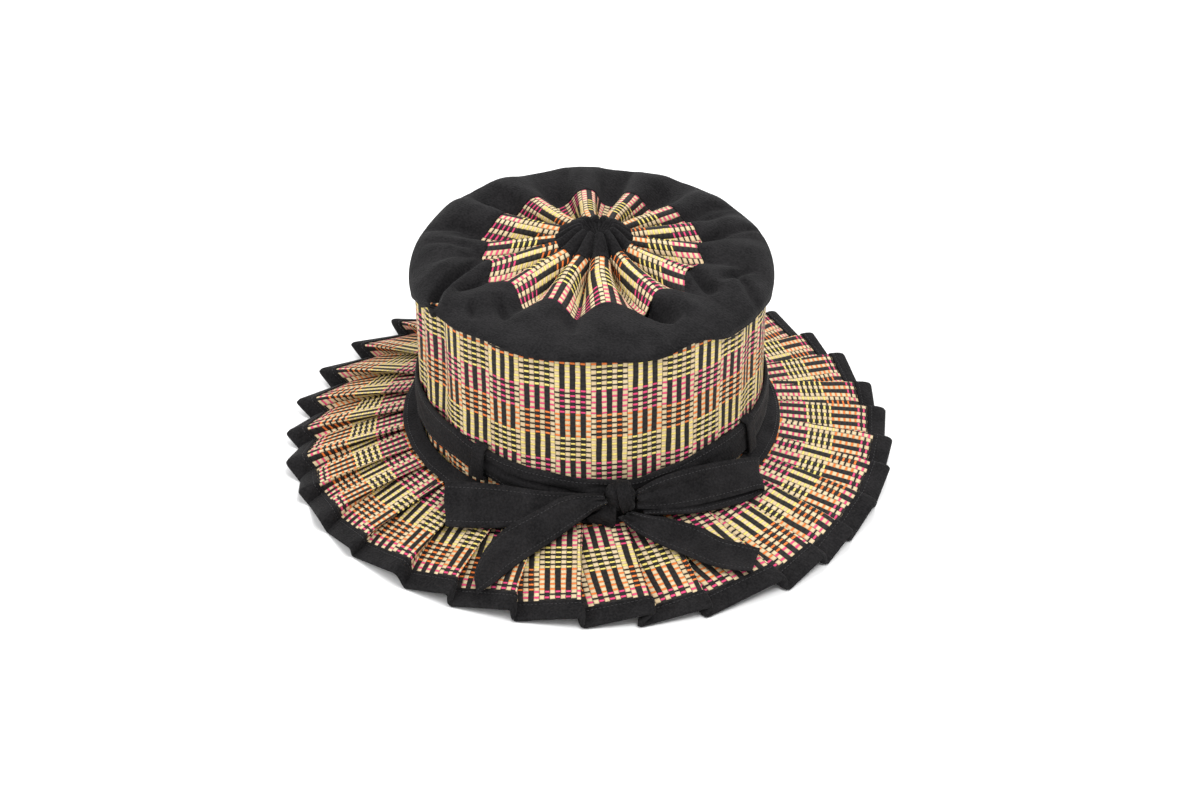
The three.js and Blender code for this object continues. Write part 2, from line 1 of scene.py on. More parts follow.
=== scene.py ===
"""A pleated straw sun hat with black cotton trim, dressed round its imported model.

Sizes are in millimetres and become metres where a mesh is made; flat sizes, the
materials' relief and the studio are in metres. A bearing is an angle round the
hat in degrees: 0 at the front (-Y), growing towards +X.
"""

import logging
from dataclasses import dataclass, field
from enum import Enum
from typing import Sequence

import bpy
import numpy as np
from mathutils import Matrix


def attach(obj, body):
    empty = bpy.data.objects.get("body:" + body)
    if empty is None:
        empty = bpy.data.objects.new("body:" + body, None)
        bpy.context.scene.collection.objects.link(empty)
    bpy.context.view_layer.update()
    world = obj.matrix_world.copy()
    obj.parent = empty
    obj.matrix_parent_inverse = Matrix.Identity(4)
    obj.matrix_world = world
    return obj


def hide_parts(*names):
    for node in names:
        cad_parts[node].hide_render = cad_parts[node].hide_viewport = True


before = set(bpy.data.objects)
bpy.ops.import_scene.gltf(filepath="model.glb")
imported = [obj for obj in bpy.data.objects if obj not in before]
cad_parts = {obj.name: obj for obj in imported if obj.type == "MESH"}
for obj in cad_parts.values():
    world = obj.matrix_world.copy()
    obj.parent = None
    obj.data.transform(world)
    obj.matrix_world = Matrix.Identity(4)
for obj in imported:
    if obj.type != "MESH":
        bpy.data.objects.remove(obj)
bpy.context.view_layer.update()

MM = 0.001
BODY = "root"
WEAVE = "weave"
LOG = logging.getLogger("hat")

Array = np.ndarray
Material = bpy.types.Material
Object = bpy.types.Object


class Held(Enum):
    """How a sheet of cloth is held in the hat."""

    FOLDED = "folded"
    GATHERED = "gathered"
    STRETCHED = "stretched"
    LAID = "laid"


class Slot(Enum):
    """The record's material slots."""

    MAT = "woven_mat"
    COTTON = "black_cotton"


def polar(bearing: Array, radius: Array, z: Array) -> Array:
    """Points at a bearing, a distance from the axis and a height.

    Args:
        bearing: degrees from the front, growing towards +X.
        radius: distance from the axis.
        z: height.

    Returns:
        An array with a last axis of x, y, z: x is radius times the sine of the
        bearing and y is minus radius times its cosine.
    """
    angle = np.radians(bearing)
    return np.stack(np.broadcast_arrays(radius * np.sin(angle), -radius * np.cos(angle), z), axis=-1)


def round_table(rows: Sequence[tuple], bearing: Array, column: int = 1) -> Array:
    """Smooth value of a table that goes once round the hat.

    Args:
        rows: a bearing and one or more values each, in growing bearing.
        bearing: degrees.
        column: which value of a row to read.

    Returns:
        The value: between two rows it follows half a cosine wave.
    """
    at = np.array([row[0] for row in rows], dtype=float)
    value = np.array([row[column] for row in rows], dtype=float)
    turn = np.mod(bearing - at[0], 360.0)
    edges = np.append(at - at[0], 360.0)
    low = np.clip(np.searchsorted(edges, turn, side="right") - 1, 0, len(at) - 1)
    part = (turn - edges[low]) / (edges[low + 1] - edges[low])
    blend = (1 - np.cos(np.pi * part)) / 2
    return value[low] * (1 - blend) + value[(low + 1) % len(at)] * blend


def through(rows: Array, count: int) -> Array:
    """A smooth line through a short table's rows.

    Args:
        rows: the rows, one point or set of values each.
        count: how many samples to return.

    Returns:
        count rows on a Catmull-Rom spline through the rows, evenly spaced in
        its parameter.
    """
    rows = np.asarray(rows, dtype=float)
    padded = np.concatenate([[2 * rows[0] - rows[1]], rows, [2 * rows[-1] - rows[-2]]])
    place = np.linspace(0, len(rows) - 1, count)
    first = np.minimum(place.astype(int), len(rows) - 2)
    t = (place - first).reshape(-1, *([1] * (rows.ndim - 1)))
    a, b, c, d = (padded[first + step] for step in range(4))
    return 0.5 * (2 * b + (c - a) * t + (2 * a - 5 * b + 4 * c - d) * t**2 + (3 * b - a - 3 * c + d) * t**3)


def unit(vectors: Array) -> Array:
    """The same vectors with length one."""
    length = np.linalg.norm(vectors, axis=-1, keepdims=True)
    return vectors / np.maximum(length, 1e-9)


def shares(steps: int) -> Array:
    """Even shares from 0 up to 1, without the last."""
    return np.linspace(0, 1, steps + 1)[:-1]


def slopes(points: Array, axis: int, wrap: bool) -> Array:
    """Differences along one axis of a grid of points, round the end if it wraps."""
    if wrap:
        return np.roll(points, -1, axis=axis) - np.roll(points, 1, axis=axis)
    return np.gradient(points, axis=axis)


def normals(points: Array, wrap_columns: bool) -> Array:
    """Unit normals of a grid of points.

    Args:
        points: rows by columns by 3.
        wrap_columns: whether the last column is next to the first.

    Returns:
        The cross product of the two grid directions, along the columns and
        then along the rows, made one long.
    """
    return unit(np.cross(slopes(points, 1, wrap_columns), slopes(points, 0, False)))


@dataclass
class Surface:
    """A grid of points with its weave coordinates, one more of them than points where it wraps."""

    points: Array
    uv: Array | None
    wrap_rows: bool = False
    wrap_columns: bool = True

    def shell(self, thickness: float) -> "Surface":
        """A closed wall: the grid, and the same grid moved back along its normals.

        Args:
            thickness: wall thickness in millimetres; the side away from the
                normals is the inner one.

        Returns:
            A surface whose rows go out along the outer face and back along the
            inner face.
        """
        inner = self.points - thickness * normals(self.points, self.wrap_columns)
        uv = None if self.uv is None else np.concatenate([self.uv, self.uv[::-1], self.uv[:1]])
        return Surface(np.concatenate([self.points, inner[::-1]]), uv, True, self.wrap_columns)

    def corners(self) -> tuple[Array, Array]:
        """Row and column of each face's four corners, past the end where the grid wraps."""
        rows, columns = self.points.shape[:2]
        row = np.arange(rows if self.wrap_rows else rows - 1)
        column = np.arange(columns if self.wrap_columns else columns - 1)
        r, c = np.meshgrid(row, column, indexing="ij")
        corner_rows = np.stack([r, r, r + 1, r + 1], axis=-1)
        corner_columns = np.stack([c, c + 1, c + 1, c], axis=-1)
        return corner_rows.reshape(-1, 4), corner_columns.reshape(-1, 4)

    def caps(self) -> list[Array]:
        """Vertex numbers of the two faces that close the open ends."""
        rows, columns = self.points.shape[:2]
        if not self.wrap_columns:
            ring = np.arange(rows) * columns
            return [ring, (ring + columns - 1)[::-1]]
        if not self.wrap_rows:
            ring = np.arange(columns)
            return [ring[::-1], ring + (rows - 1) * columns]
        return []

    def volume(self, faces: Array, caps: Sequence[Array]) -> float:
        """Six times the enclosed volume, below zero where the faces point inwards."""
        vertices = self.points.reshape(-1, 3)
        centred = vertices - vertices.mean(axis=0)
        first, second, third, fourth = (centred[faces[:, corner]] for corner in range(4))
        sides = np.einsum("ij,ij->", first, np.cross(second, third) + np.cross(third, fourth))
        return float(sides) + sum(self.fan(centred[cap]) for cap in caps)

    @staticmethod
    def fan(ring: Array) -> float:
        """Six times the volume between a ring of points and the origin."""
        return float(np.einsum("ij,ij->", ring[:1] + 0 * ring[1:-1], np.cross(ring[1:-1], ring[2:])))

    def build(self, name: str, material: Material) -> Object:
        """Makes the closed mesh object with its weave coordinates.

        Args:
            name: the piece's name.
            material: its finish.

        Returns:
            The new object. Open ends of a wrapped section are capped, and the
            faces are turned outwards by the sign of the enclosed volume.
        """
        rows, columns = self.points.shape[:2]
        corner_rows, corner_columns = self.corners()
        faces = (corner_rows % rows) * columns + corner_columns % columns
        caps = self.caps()
        inside_out = self.volume(faces, caps) < 0
        if inside_out:
            faces = faces[:, ::-1]
            caps = [cap[::-1] for cap in caps]
        listed = faces.tolist() + [cap.tolist() for cap in caps]
        piece = new_piece(name, self.points.reshape(-1, 3), listed, material)
        if self.uv is not None:
            at_corners = self.uv[corner_rows, corner_columns]
            at_corners = at_corners[:, ::-1] if inside_out else at_corners
            on_caps = np.zeros((sum(len(cap) for cap in caps), 2))
            values = np.concatenate([at_corners.reshape(-1, 2), on_caps])
            piece.data.uv_layers.new(name=WEAVE).data.foreach_set("uv", values.astype(np.float32).ravel())
        return piece


def place(piece: Object) -> Object:
    """Links a new object to the scene and returns it."""
    bpy.context.scene.collection.objects.link(piece)
    return piece


def new_piece(name: str, points: Array, faces: Sequence, material: Material) -> Object:
    """A smooth mesh object in the scene, in metres, with its place in its mesh.

    Args:
        name: the piece's name.
        points: one vertex per row, in millimetres.
        faces: the vertex numbers of each face.
        material: its finish.

    Returns:
        The new object.
    """
    mesh = bpy.data.meshes.new(name)
    mesh.from_pydata((points * MM).tolist(), [], faces)
    mesh.polygons.foreach_set("use_smooth", [True] * len(faces))
    mesh.materials.append(material)
    mesh.update()
    return place(bpy.data.objects.new(name, mesh))


def settle(piece: Object, slot: Slot, *nodes: str) -> Object:
    """Puts a piece on the hat's body, in place of its nodes."""
    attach(piece, BODY)
    if nodes:
        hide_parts(*nodes)
    LOG.info("%s: %d faces", piece.name, len(piece.data.polygons))
    return piece


@dataclass(frozen=True)
class Value:
    """An output in a material's tree; arithmetic with it adds Math nodes."""

    graph: "Graph"
    socket: bpy.types.NodeSocket

    def __add__(self, other: "Input") -> "Value":
        """The sum."""
        return self.graph.math("ADD", self, other)

    def __sub__(self, other: "Input") -> "Value":
        """This less the other."""
        return self.graph.math("SUBTRACT", self, other)

    def __rsub__(self, other: "Input") -> "Value":
        """The other less this."""
        return self.graph.math("SUBTRACT", other, self)

    def __mul__(self, other: "Input") -> "Value":
        """The product."""
        return self.graph.math("MULTIPLY", self, other)

    def __truediv__(self, other: "Input") -> "Value":
        """This over the other."""
        return self.graph.math("DIVIDE", self, other)

    def __mod__(self, other: "Input") -> "Value":
        """The rest of the division."""
        return self.graph.math("MODULO", self, other)

    def __pow__(self, other: "Input") -> "Value":
        """This to the other's power."""
        return self.graph.math("POWER", self, other)

    def __abs__(self) -> "Value":
        """The value without its sign."""
        return self.graph.math("ABSOLUTE", self)

    def floor(self) -> "Value":
        """The whole number below."""
        return self.graph.math("FLOOR", self)

    def off_centre(self) -> "Value":
        """Distance from the middle between two whole numbers, up to a half."""
        return abs(self.graph.math("FRACT", self) - 0.5)

    def above(self, other: "Input") -> "Value":
        """The greater of the two."""
        return self.graph.math("MAXIMUM", self, other)


Input = Value | float | tuple


@dataclass(frozen=True)
class Graph:
    """Adds nodes to a material's tree; an input may be a value, a number or a colour."""

    tree: bpy.types.NodeTree

    def node(self, kind: str, **settings: object) -> bpy.types.Node:
        """A new node with its settings."""
        made = self.tree.nodes.new(kind)
        for name, value in settings.items():
            setattr(made, name, value)
        return made

    def put(self, value: Input, socket: bpy.types.NodeSocket) -> None:
        """Links a value into a socket, or sets its number or colour."""
        if isinstance(value, Value):
            self.tree.links.new(value.socket, socket)
        else:
            socket.default_value = value

    def made(self, kind: str, inputs: dict, output: str | int, **settings: object) -> Value:
        """Adds a node and fills its inputs.

        Args:
            kind: the node's type.
            inputs: a value for each input, by its name or number.
            output: name or number of the output to read.
            **settings: the node's own settings.

        Returns:
            The output.
        """
        node = self.node(kind, **settings)
        for key, value in inputs.items():
            self.put(value, node.inputs[key])
        return Value(self, node.outputs[output])

    def math(self, operation: str, *inputs: Input) -> Value:
        """A Math node's result."""
        return self.made("ShaderNodeMath", dict(enumerate(inputs)), 0, operation=operation)

    def ramp(self, value: Input, low: float, high: float) -> Value:
        """0 at low, 1 at high, smooth between them; low may be above high."""
        ends = {"Value": value, "From Min": low, "From Max": high}
        return self.made("ShaderNodeMapRange", ends, "Result", interpolation_type="SMOOTHSTEP")

    def mix(self, share: Input, a: Input, b: Input) -> Value:
        """A colour mixed from a and b."""
        return self.made("ShaderNodeMix", {0: share, 6: a, 7: b}, 2, data_type="RGBA")

    def noise(self, vector: Value, scale: float = 1.0, detail: float = 2.0) -> Value:
        """Noise from 0 to 1 over a vector."""
        inputs = {"Vector": vector, "Scale": scale, "Detail": detail}
        return self.made("ShaderNodeTexNoise", inputs, "Fac")

    def combine(self, x: Input, y: Input, z: Input = 0.0) -> Value:
        """A vector from three inputs."""
        return self.made("ShaderNodeCombineXYZ", {0: x, 1: y, 2: z}, 0)

    def random(self, vector: Value) -> Value:
        """A random number from 0 to 1 for each value of a vector."""
        return self.made("ShaderNodeTexWhiteNoise", {"Vector": vector}, "Value", noise_dimensions="3D")

    def bump(self, height: Value, distance: float, strength: float) -> Value:
        """A normal from a height."""
        inputs = {"Height": height, "Distance": distance, "Strength": strength}
        return self.made("ShaderNodeBump", inputs, "Normal")

    def object_coordinates(self) -> Value:
        """The piece's own coordinates, in metres."""
        return self.made("ShaderNodeTexCoord", {}, "Object")


@dataclass(frozen=True)
class Finish:
    """A material with a name and a shader."""

    name: str

    def dress(self, g: Graph) -> dict[str, Input]:
        """Builds the finish's nodes; the result is an input for each shader socket."""
        raise NotImplementedError

    def make(self) -> Material:
        """Makes the material and fills its shader's inputs."""
        material = bpy.data.materials.new(self.name)
        material.use_nodes = True
        g = Graph(material.node_tree)
        shader = g.tree.nodes["Principled BSDF"]
        for key, value in self.dress(g).items():
            g.put(value, shader.inputs[key])
        return material


@dataclass(frozen=True)
class WovenStraw(Finish):
    """Straw strips crossed by thin threads, in the blocks of a log-cabin weave.

    The weave coordinate u counts strips and v counts threads. Strips come in
    blocks of seven, natural and black in turn, and threads in bands of nine, a
    colour and black in turn. Seven and nine are odd, so the parity flips from
    one block to the next and stripes along the strips meet stripes across them.
    """

    name: str = "woven_straw"
    block: float = 7.0
    band: float = 9.0
    natural: tuple = (0.60, 0.45, 0.26, 1)
    natural_pale: tuple = (0.74, 0.60, 0.38, 1)
    charcoal: tuple = (0.012, 0.011, 0.011, 1)
    charcoal_worn: tuple = (0.027, 0.025, 0.023, 1)
    # Colour of the painted shade in the gaps between strips and beside crossing threads
    shadow: tuple = (0.035, 0.024, 0.014, 1)
    # Dyed threads in the order of their bands: orange, pink and yellow
    dyes: tuple = ((0.80, 0.17, 0.02, 1), (0.72, 0.03, 0.17, 1), (0.84, 0.68, 0.17, 1))
    black_thread: tuple = (0.014, 0.013, 0.014, 1)
    # Half the width of a dyed and a black thread, in threads, and how soft its edge is
    thread_half: float = 0.34
    black_thread_half: float = 0.30
    thread_edge: float = 0.05
    # How far strips and threads stray, in strips and threads
    strip_sway: float = 0.35
    thread_sway: float = 0.5
    # Shares of a strip's own tone and of its fibres in its colour
    tone_share: float = 0.55
    fibre_share: float = 0.45
    fibre_in_dye: float = 0.12
    # Where the painted shade in the dark gap beside a strip starts and ends, off its middle, and how dark it
    # is
    gap: tuple = (0.38, 0.49)
    gap_shade_share: float = 0.75
    # Share of the painted shadow on a strip beside a thread that crosses over it
    pinch_shadow_share: float = 0.45
    strip_dip: float = 0.45
    thread_top: float = 1.25
    thread_round: float = 0.45
    fibre_relief: float = 0.14
    relief: float = 0.0006
    relief_strength: float = 0.9
    roughness: float = 0.48
    fibre_roughness: float = 0.28
    specular: float = 0.18

    def weave(self, g: Graph) -> tuple[Value, Value]:
        """The weave coordinates, with strips and threads that stray a little."""
        uv = g.made("ShaderNodeUVMap", {}, 0, uv_map=WEAVE)
        parts = g.node("ShaderNodeSeparateXYZ")
        g.put(uv, parts.inputs[0])
        u, v = Value(g, parts.outputs[0]), Value(g, parts.outputs[1])
        sway = g.noise(g.combine(u * 0.6, v * 0.12)) - 0.5
        lift = g.noise(g.combine(u * 0.25, v * 0.5, 7.0)) - 0.5
        return u + sway * self.strip_sway, v + lift * self.thread_sway

    def dye(self, g: Graph, band: Value) -> Value:
        """The dye of a band of threads: each of the dyes in turn."""
        ramp = g.node("ShaderNodeValToRGB")
        ramp.color_ramp.interpolation = "CONSTANT"
        stops = ramp.color_ramp.elements
        count = len(self.dyes)
        stops[1].position = 1 / count
        for at in range(2, count):
            stops.new(at / count)
        for stop, colour in zip(stops, self.dyes):
            stop.color = colour
        g.put((band % float(count) + 0.5) / float(count), ramp.inputs[0])
        return Value(g, ramp.outputs[0])

    def dress(self, g: Graph) -> dict[str, Input]:
        """Colour, relief and roughness from the piece's own weave coordinates."""
        u, v = self.weave(g)
        strip, thread = u.floor(), v.floor()
        across, along = u.off_centre(), v.off_centre()
        band = (thread / self.band).floor()
        black_strip = strip % self.block % 2.0
        black_thread = (thread - band * self.band) % 2.0
        under = (strip + thread) % 2.0
        thinner = black_thread * (self.thread_half - self.black_thread_half)
        outside, inside = self.thread_half + self.thread_edge, self.thread_half - self.thread_edge
        over = under * g.ramp(along + thinner, outside, inside)

        chance = g.random(g.combine(strip, (v * 0.11).floor(), 0.5))
        fibre = g.noise(g.combine(u * 9.0, v * 0.35, 3.0), detail=3.0)
        tone = chance * self.tone_share + fibre * self.fibre_share
        straw = g.mix(tone, self.natural, self.natural_pale)
        black = g.mix(fibre, self.charcoal, self.charcoal_worn)
        strip_colour = g.mix(black_strip, straw, black)
        dye = g.mix(fibre * self.fibre_in_dye, self.dye(g, band), self.natural_pale)
        thread_colour = g.mix(black_thread, dye, self.black_thread)
        # Painted shadow on a strip next to the edges of a thread that crosses over it
        pinch = under * g.ramp(along, self.thread_half, 0.5)
        # Painted shade in the gaps between strips, or the painted shadow beside a crossing thread where that
        # is darker, mixed towards the shadow colour
        shade = (g.ramp(across, *self.gap) * self.gap_shade_share).above(pinch * self.pinch_shadow_share)
        colour = g.mix(shade, g.mix(over, strip_colour, thread_colour), self.shadow)

        strip_height = (1.0 - (across * 2.0) ** 4.0) * (1.0 - under * self.strip_dip)
        reach = along / self.thread_half
        thread_height = (self.thread_top - reach * reach * self.thread_round) * over
        height = strip_height.above(thread_height) + fibre * self.fibre_relief
        return {
            "Base Color": colour,
            "Normal": g.bump(height, self.relief, self.relief_strength),
            "Roughness": fibre * self.fibre_roughness + self.roughness,
            "Specular IOR Level": self.specular,
        }


@dataclass(frozen=True)
class BlackCotton(Finish):
    """Matt black cotton twill, a little lighter where its nap catches the light."""

    name: str = "black_cotton"
    deep: tuple = (0.0038, 0.0036, 0.004, 1)
    # The lighter colour: partly painted sheen where the nap would catch the light, partly lint and wear
    sheen_and_wear: tuple = (0.0268, 0.0253, 0.0265, 1)
    # Mottle, nap and lint: scale and detail of the noise, the ends of its ramp, and
    # its share in the colour. Where they are high the colour is lighter: partly painted sheen on the nap,
    # partly lint and wear
    layers: tuple = (
        (80.0, 3.0, 0.25, 0.75, 0.28), (900.0, 3.0, 0.3, 0.7, 0.34), (2600.0, 2.0, 0.62, 0.78, 0.5),
    )
    rib_scale: float = 260.0
    rib_distortion: float = 1.2
    rib_relief: float = 0.5
    nap_relief: float = 1.6
    relief: float = 0.0002
    relief_strength: float = 0.6
    roughness: float = 0.9
    specular: float = 0.12
    sheen: float = 0.03
    sheen_roughness: float = 0.45

    def dress(self, g: Graph) -> dict[str, Input]:
        """Fine diagonal ribs, a soft mottle and a faint lint."""
        place_at = g.object_coordinates()
        mottle, nap, lint = (g.ramp(g.noise(place_at, *row[:2]), *row[2:4]) for row in self.layers)
        in_mottle, in_nap, in_lint = (row[4] for row in self.layers)
        # Share of the lighter colour: partly painted sheen, partly lint and wear
        share = mottle * in_mottle + nap * in_nap + lint * in_lint
        rib = {"Vector": place_at, "Scale": self.rib_scale, "Distortion": self.rib_distortion, "Detail": 1.0}
        ribs = g.made("ShaderNodeTexWave", rib, "Fac", wave_type="BANDS", bands_direction="DIAGONAL")
        height = ribs * self.rib_relief + nap * self.nap_relief
        return {
            "Base Color": g.mix(share, self.deep, self.sheen_and_wear),
            "Normal": g.bump(height, self.relief, self.relief_strength),
            "Roughness": self.roughness,
            "Specular IOR Level": self.specular,
            "Sheen Weight": self.sheen,
            "Sheen Roughness": self.sheen_roughness,
        }


@dataclass(frozen=True)
class SewingThread(Finish):
    """Polyester thread, a shade lighter than the cotton that it sews."""

    name: str = "sewing_thread"
    colour: tuple = (0.013, 0.0125, 0.0135, 1)
    lighter: float = 1.5
    twist_scale: float = 3000.0
    relief: float = 0.0001
    relief_strength: float = 0.4
    roughness: float = 0.5

    def dress(self, g: Graph) -> dict[str, Input]:
        """Colour and relief of the thread's fine twist."""
        twist = g.noise(g.object_coordinates(), self.twist_scale)
        light = tuple(self.lighter * part for part in self.colour[:3]) + (1,)
        return {
            "Base Color": g.mix(twist, self.colour, light),
            "Normal": g.bump(twist, self.relief, self.relief_strength),
            "Roughness": self.roughness,
        }


@dataclass(frozen=True)
class WhitePaper(Finish):
    """Matt white paper, for the floor."""

    name: str = "floor_paper"
    colour: tuple = (0.93, 0.93, 0.93, 1)
    roughness: float = 0.9
    specular: float = 0.1

    def dress(self, g: Graph) -> dict[str, Input]:
        """One plain colour."""
        return {"Base Color": self.colour, "Roughness": self.roughness, "Specular IOR Level": self.specular}


# Bearing of each fold of the crown top: its ridge, the valley after it, the valley's
# depth, and how far the ridge's outer end stands above the front ones
FOLDS = (
    (8, 26, 5.6, 0), (40, 53, 4.8, 0), (66, 81, 4.8, 0.6), (91, 100, 4.6, 2.4), (110, 120, 8.5, 4.4),
    (131, 146, 12, 4.6), (158, 171, 13.8, 4.6), (183, 197, 13.2, 4.6), (213, 225, 12, 4.6),
    (238, 253, 9, 4.2), (268, 276, 3.2, 1.6), (284, 297, 4.8, 0), (310, 326, 5.6, 0), (338, 353, 5.4, 0),
)
# Bearing and height of the shoulder's lower edge
HEM = (
    (0, 115.2), (20, 113), (33, 117), (48, 110.4), (66, 109), (80, 105), (115, 107.5), (180, 111.5),
    (245, 107.5), (278, 104.5), (292, 111), (303.5, 119.5), (307, 117), (314, 116.4), (326, 117.8),
    (341, 114.6),
)
# Bearing and how much higher the shoulder stands than at the front
RISE = (
    (0, 0), (80, 0), (105, 2.2), (124, 2.4), (145, 3.8), (170, 3.8), (186, 4.8), (203, 4.3), (220, 5.8),
    (235, 5), (252, 2.8), (275, 0),
)
# Bearing, depth and spread of the creases in the crown's side
CREASES = (
    (-73, 2.6, 3.5), (-58, 4.2, 4.5), (-36, 1.4, 4), (-14, 0.7, 4), (21, 0.9, 3), (48, 1.3, 4),
    (63, 1.8, 4), (84, 1.5, 5), (118, 1.2, 5), (152, 1.5, 5), (196, 1.3, 5), (236, 1.6, 5),
)
# Bearing, lower edge and upper edge of the tie
TIE = (
    (0, 27.2, 42), (13, 27.6, 40), (24, 27.4, 43.5), (43, 26.8, 47.8), (60, 27.3, 48), (90, 27.3, 49),
    (136, 29.5, 50), (200, 30, 50.5), (248, 29, 50.5), (292, 30.5, 52), (310, 33, 51.5), (321, 31.5, 48.7),
    (326, 31.4, 48), (334, 27.8, 46.6), (341, 27, 45.3),
)
# Bearing and the brim's reach from the axis there, at its ridges and at its valleys
RIM = (
    (0, 167.5, 166.5), (20, 168.5, 168.5), (36, 169.5, 170), (60, 169, 167), (90, 169, 164.8),
    (112, 167, 162.5), (128, 164.5, 160.5), (150, 166.5, 163.5), (180, 167.6, 165.5), (208, 166.5, 161),
    (229, 165.5, 157),
    (241, 168, 157.5), (252, 170, 159), (264, 172, 161.5), (280, 173, 166), (300, 169, 166),
    (322, 166.5, 165.5), (345, 166.5, 165.5),
)
CROWN_RADIUS = 95.0
HEM_MEAN_Z = 112.0


def hem_drop(bearing: Array) -> Array:
    """How far the shoulder's hem hangs below its mean height, by the hem's table."""
    return HEM_MEAN_Z - round_table(HEM, bearing)


def bell(away: Array, spread: float) -> Array:
    """Bell curve: 1 at 0, falling with the square of the distance over the spread."""
    return np.exp(-((away / spread) ** 2))


def signed(bearing: Array) -> Array:
    """The same bearing from -180 to 180 degrees."""
    return np.mod(bearing + 180, 360) - 180


def crease_depth(bearing: Array) -> Array:
    """How far the crown's side is pressed in: a bell curve over the bearing for each crease."""
    return sum(depth * bell(signed(bearing - at), spread) for at, depth, spread in CREASES)


def smooth(value: Array, low: float, high: float) -> Array:
    """0 below low, 1 above high, and the cubic step between them."""
    t = np.clip((value - low) / (high - low), 0, 1)
    return t * t * (3 - 2 * t)


@dataclass(frozen=True)
class Stitching:
    """Rows of short raised stitches laid along sewn edges."""

    length: float = 1.35
    radius: float = 0.2
    pitch: float = 2.1
    sides: int = 6
    # Each ring of a stitch: its place and its size, as shares of the length and the radius
    rings: tuple = ((-0.5, 0.35), (-0.32, 1.0), (0.32, 1.0), (0.5, 0.35))

    def capsule(self) -> tuple[Array, Array]:
        """One stitch along X.

        Returns:
            Its vertices, one six-sided ring after another, and its quads, two
            of which close each end.
        """
        turn = shares(self.sides) * 2 * np.pi
        ring = self.radius * np.stack([0 * turn, np.cos(turn), np.sin(turn)], axis=-1)
        tube = [size * ring + [at * self.length, 0, 0] for at, size in self.rings]
        here = np.arange(self.sides)
        after = (here + 1) % self.sides
        round_once = np.stack([here, after, after + self.sides, here + self.sides], axis=-1)
        gaps = len(self.rings) - 1
        quads = [round_once + self.sides * at for at in range(gaps)]
        near_end = np.array([[0, 3, 2, 1], [0, 5, 4, 3]])
        far_end = np.array([[0, 1, 2, 3], [0, 3, 4, 5]]) + self.sides * gaps
        return np.concatenate(tube), np.concatenate(quads + [near_end, far_end])

    @staticmethod
    def sampled(at: Array, travelled: Array, rows: Array) -> Array:
        """Points or vectors of a line, read at distances along it."""
        return np.stack([np.interp(at, travelled, column) for column in rows.T], axis=-1)

    def sew(self, name: str, lines: Sequence[tuple[Array, Array]], material: Material) -> Object:
        """Lays stitches along lines on a surface.

        Args:
            name: the piece's name.
            lines: for each seam, its points and the surface's normals there.
            material: the thread.

        Returns:
            One object. The stitches follow each other at the pitch, each turned
            to the line and lying on the normal.
        """
        vertices, quads = self.capsule()
        half = self.length / 2
        places = []
        for points, up in lines:
            steps = np.linalg.norm(np.diff(points, axis=0), axis=1)
            travelled = np.concatenate([[0.0], np.cumsum(steps)])
            centres = np.arange(self.pitch / 2, travelled[-1] - self.pitch / 2, self.pitch)
            back, middle, front = (self.sampled(centres + way, travelled, points) for way in (-half, 0, half))
            along = unit(front - back)
            side = unit(np.cross(unit(self.sampled(centres, travelled, up)), along))
            axes = np.stack([along, side, np.cross(along, side)], axis=1)
            places.append(middle[:, None, :] + np.einsum("vk,skc->svc", vertices, axes))
        placed = np.concatenate(places)
        faces = (np.arange(len(placed))[:, None, None] * len(vertices) + quads).reshape(-1, 4)
        return new_piece(name, placed.reshape(-1, 3), faces.tolist(), material)


@dataclass(frozen=True)
class Meander:
    """The shape of a soft fold from its ridge to its valley.

    The cloth's direction swings as a sine wave of the way along it, up to the
    angle omega, so past a right angle the fold's sides overhang. The wave is cut
    off at its share sweep of half a turn, so a ridge is round and a valley sharp.
    """

    steps: int = 16
    fine: int = 96
    sweep: float = 0.66
    # The table's angles, in radians, and the shortest run that it gives a slope for
    flattest: float = 0.05
    tightest: float = 2.1
    table_rows: int = 120
    shortest_run: float = 0.15

    def swing(self, omega: Array) -> Array:
        """Direction of the cloth at fine steps along it, in radians, on one more axis."""
        return omega[..., None] * np.sin((np.arange(self.fine) + 0.5) * self.sweep * np.pi / self.fine)

    def table(self) -> tuple[Array, Array, Array]:
        """omega with the fold's run and depth for a length of cloth of one."""
        omega = np.linspace(self.flattest, self.tightest, self.table_rows)
        swing = self.swing(omega)
        return omega, np.cos(swing).mean(axis=1), np.sin(swing).mean(axis=1)

    def omega_for_run(self, run: Array) -> Array:
        """omega at which a fold runs this share of its cloth's length."""
        omega, runs, _ = self.table()
        return np.interp(run, runs[::-1], omega[::-1])

    def omega_for_slope(self, slope: Array) -> Array:
        """omega at which a fold's depth is this share of its run."""
        omega, runs, depths = self.table()
        keep = runs > self.shortest_run
        return np.interp(slope, depths[keep] / runs[keep], omega[keep])

    def curve(self, omega: Array) -> tuple[Array, Array]:
        """Shares of the run and of the depth at even steps along the cloth.

        Args:
            omega: an array of any shape.

        Returns:
            Two arrays with one more axis of steps + 1 samples from 0 to 1: the
            running sums of the cosine and the sine of the direction, over
            their totals.
        """
        swing = self.swing(omega)
        pick = np.linspace(0, self.fine, self.steps + 1).astype(int)
        ways = []
        for part in (np.cos(swing), np.sin(swing)):
            total = np.concatenate([np.zeros(part.shape[:-1] + (1,)), np.cumsum(part, axis=-1)], axis=-1)
            ways.append(total[..., pick] / total[..., -1:])
        return ways[0], ways[1]


MEANDER = Meander()


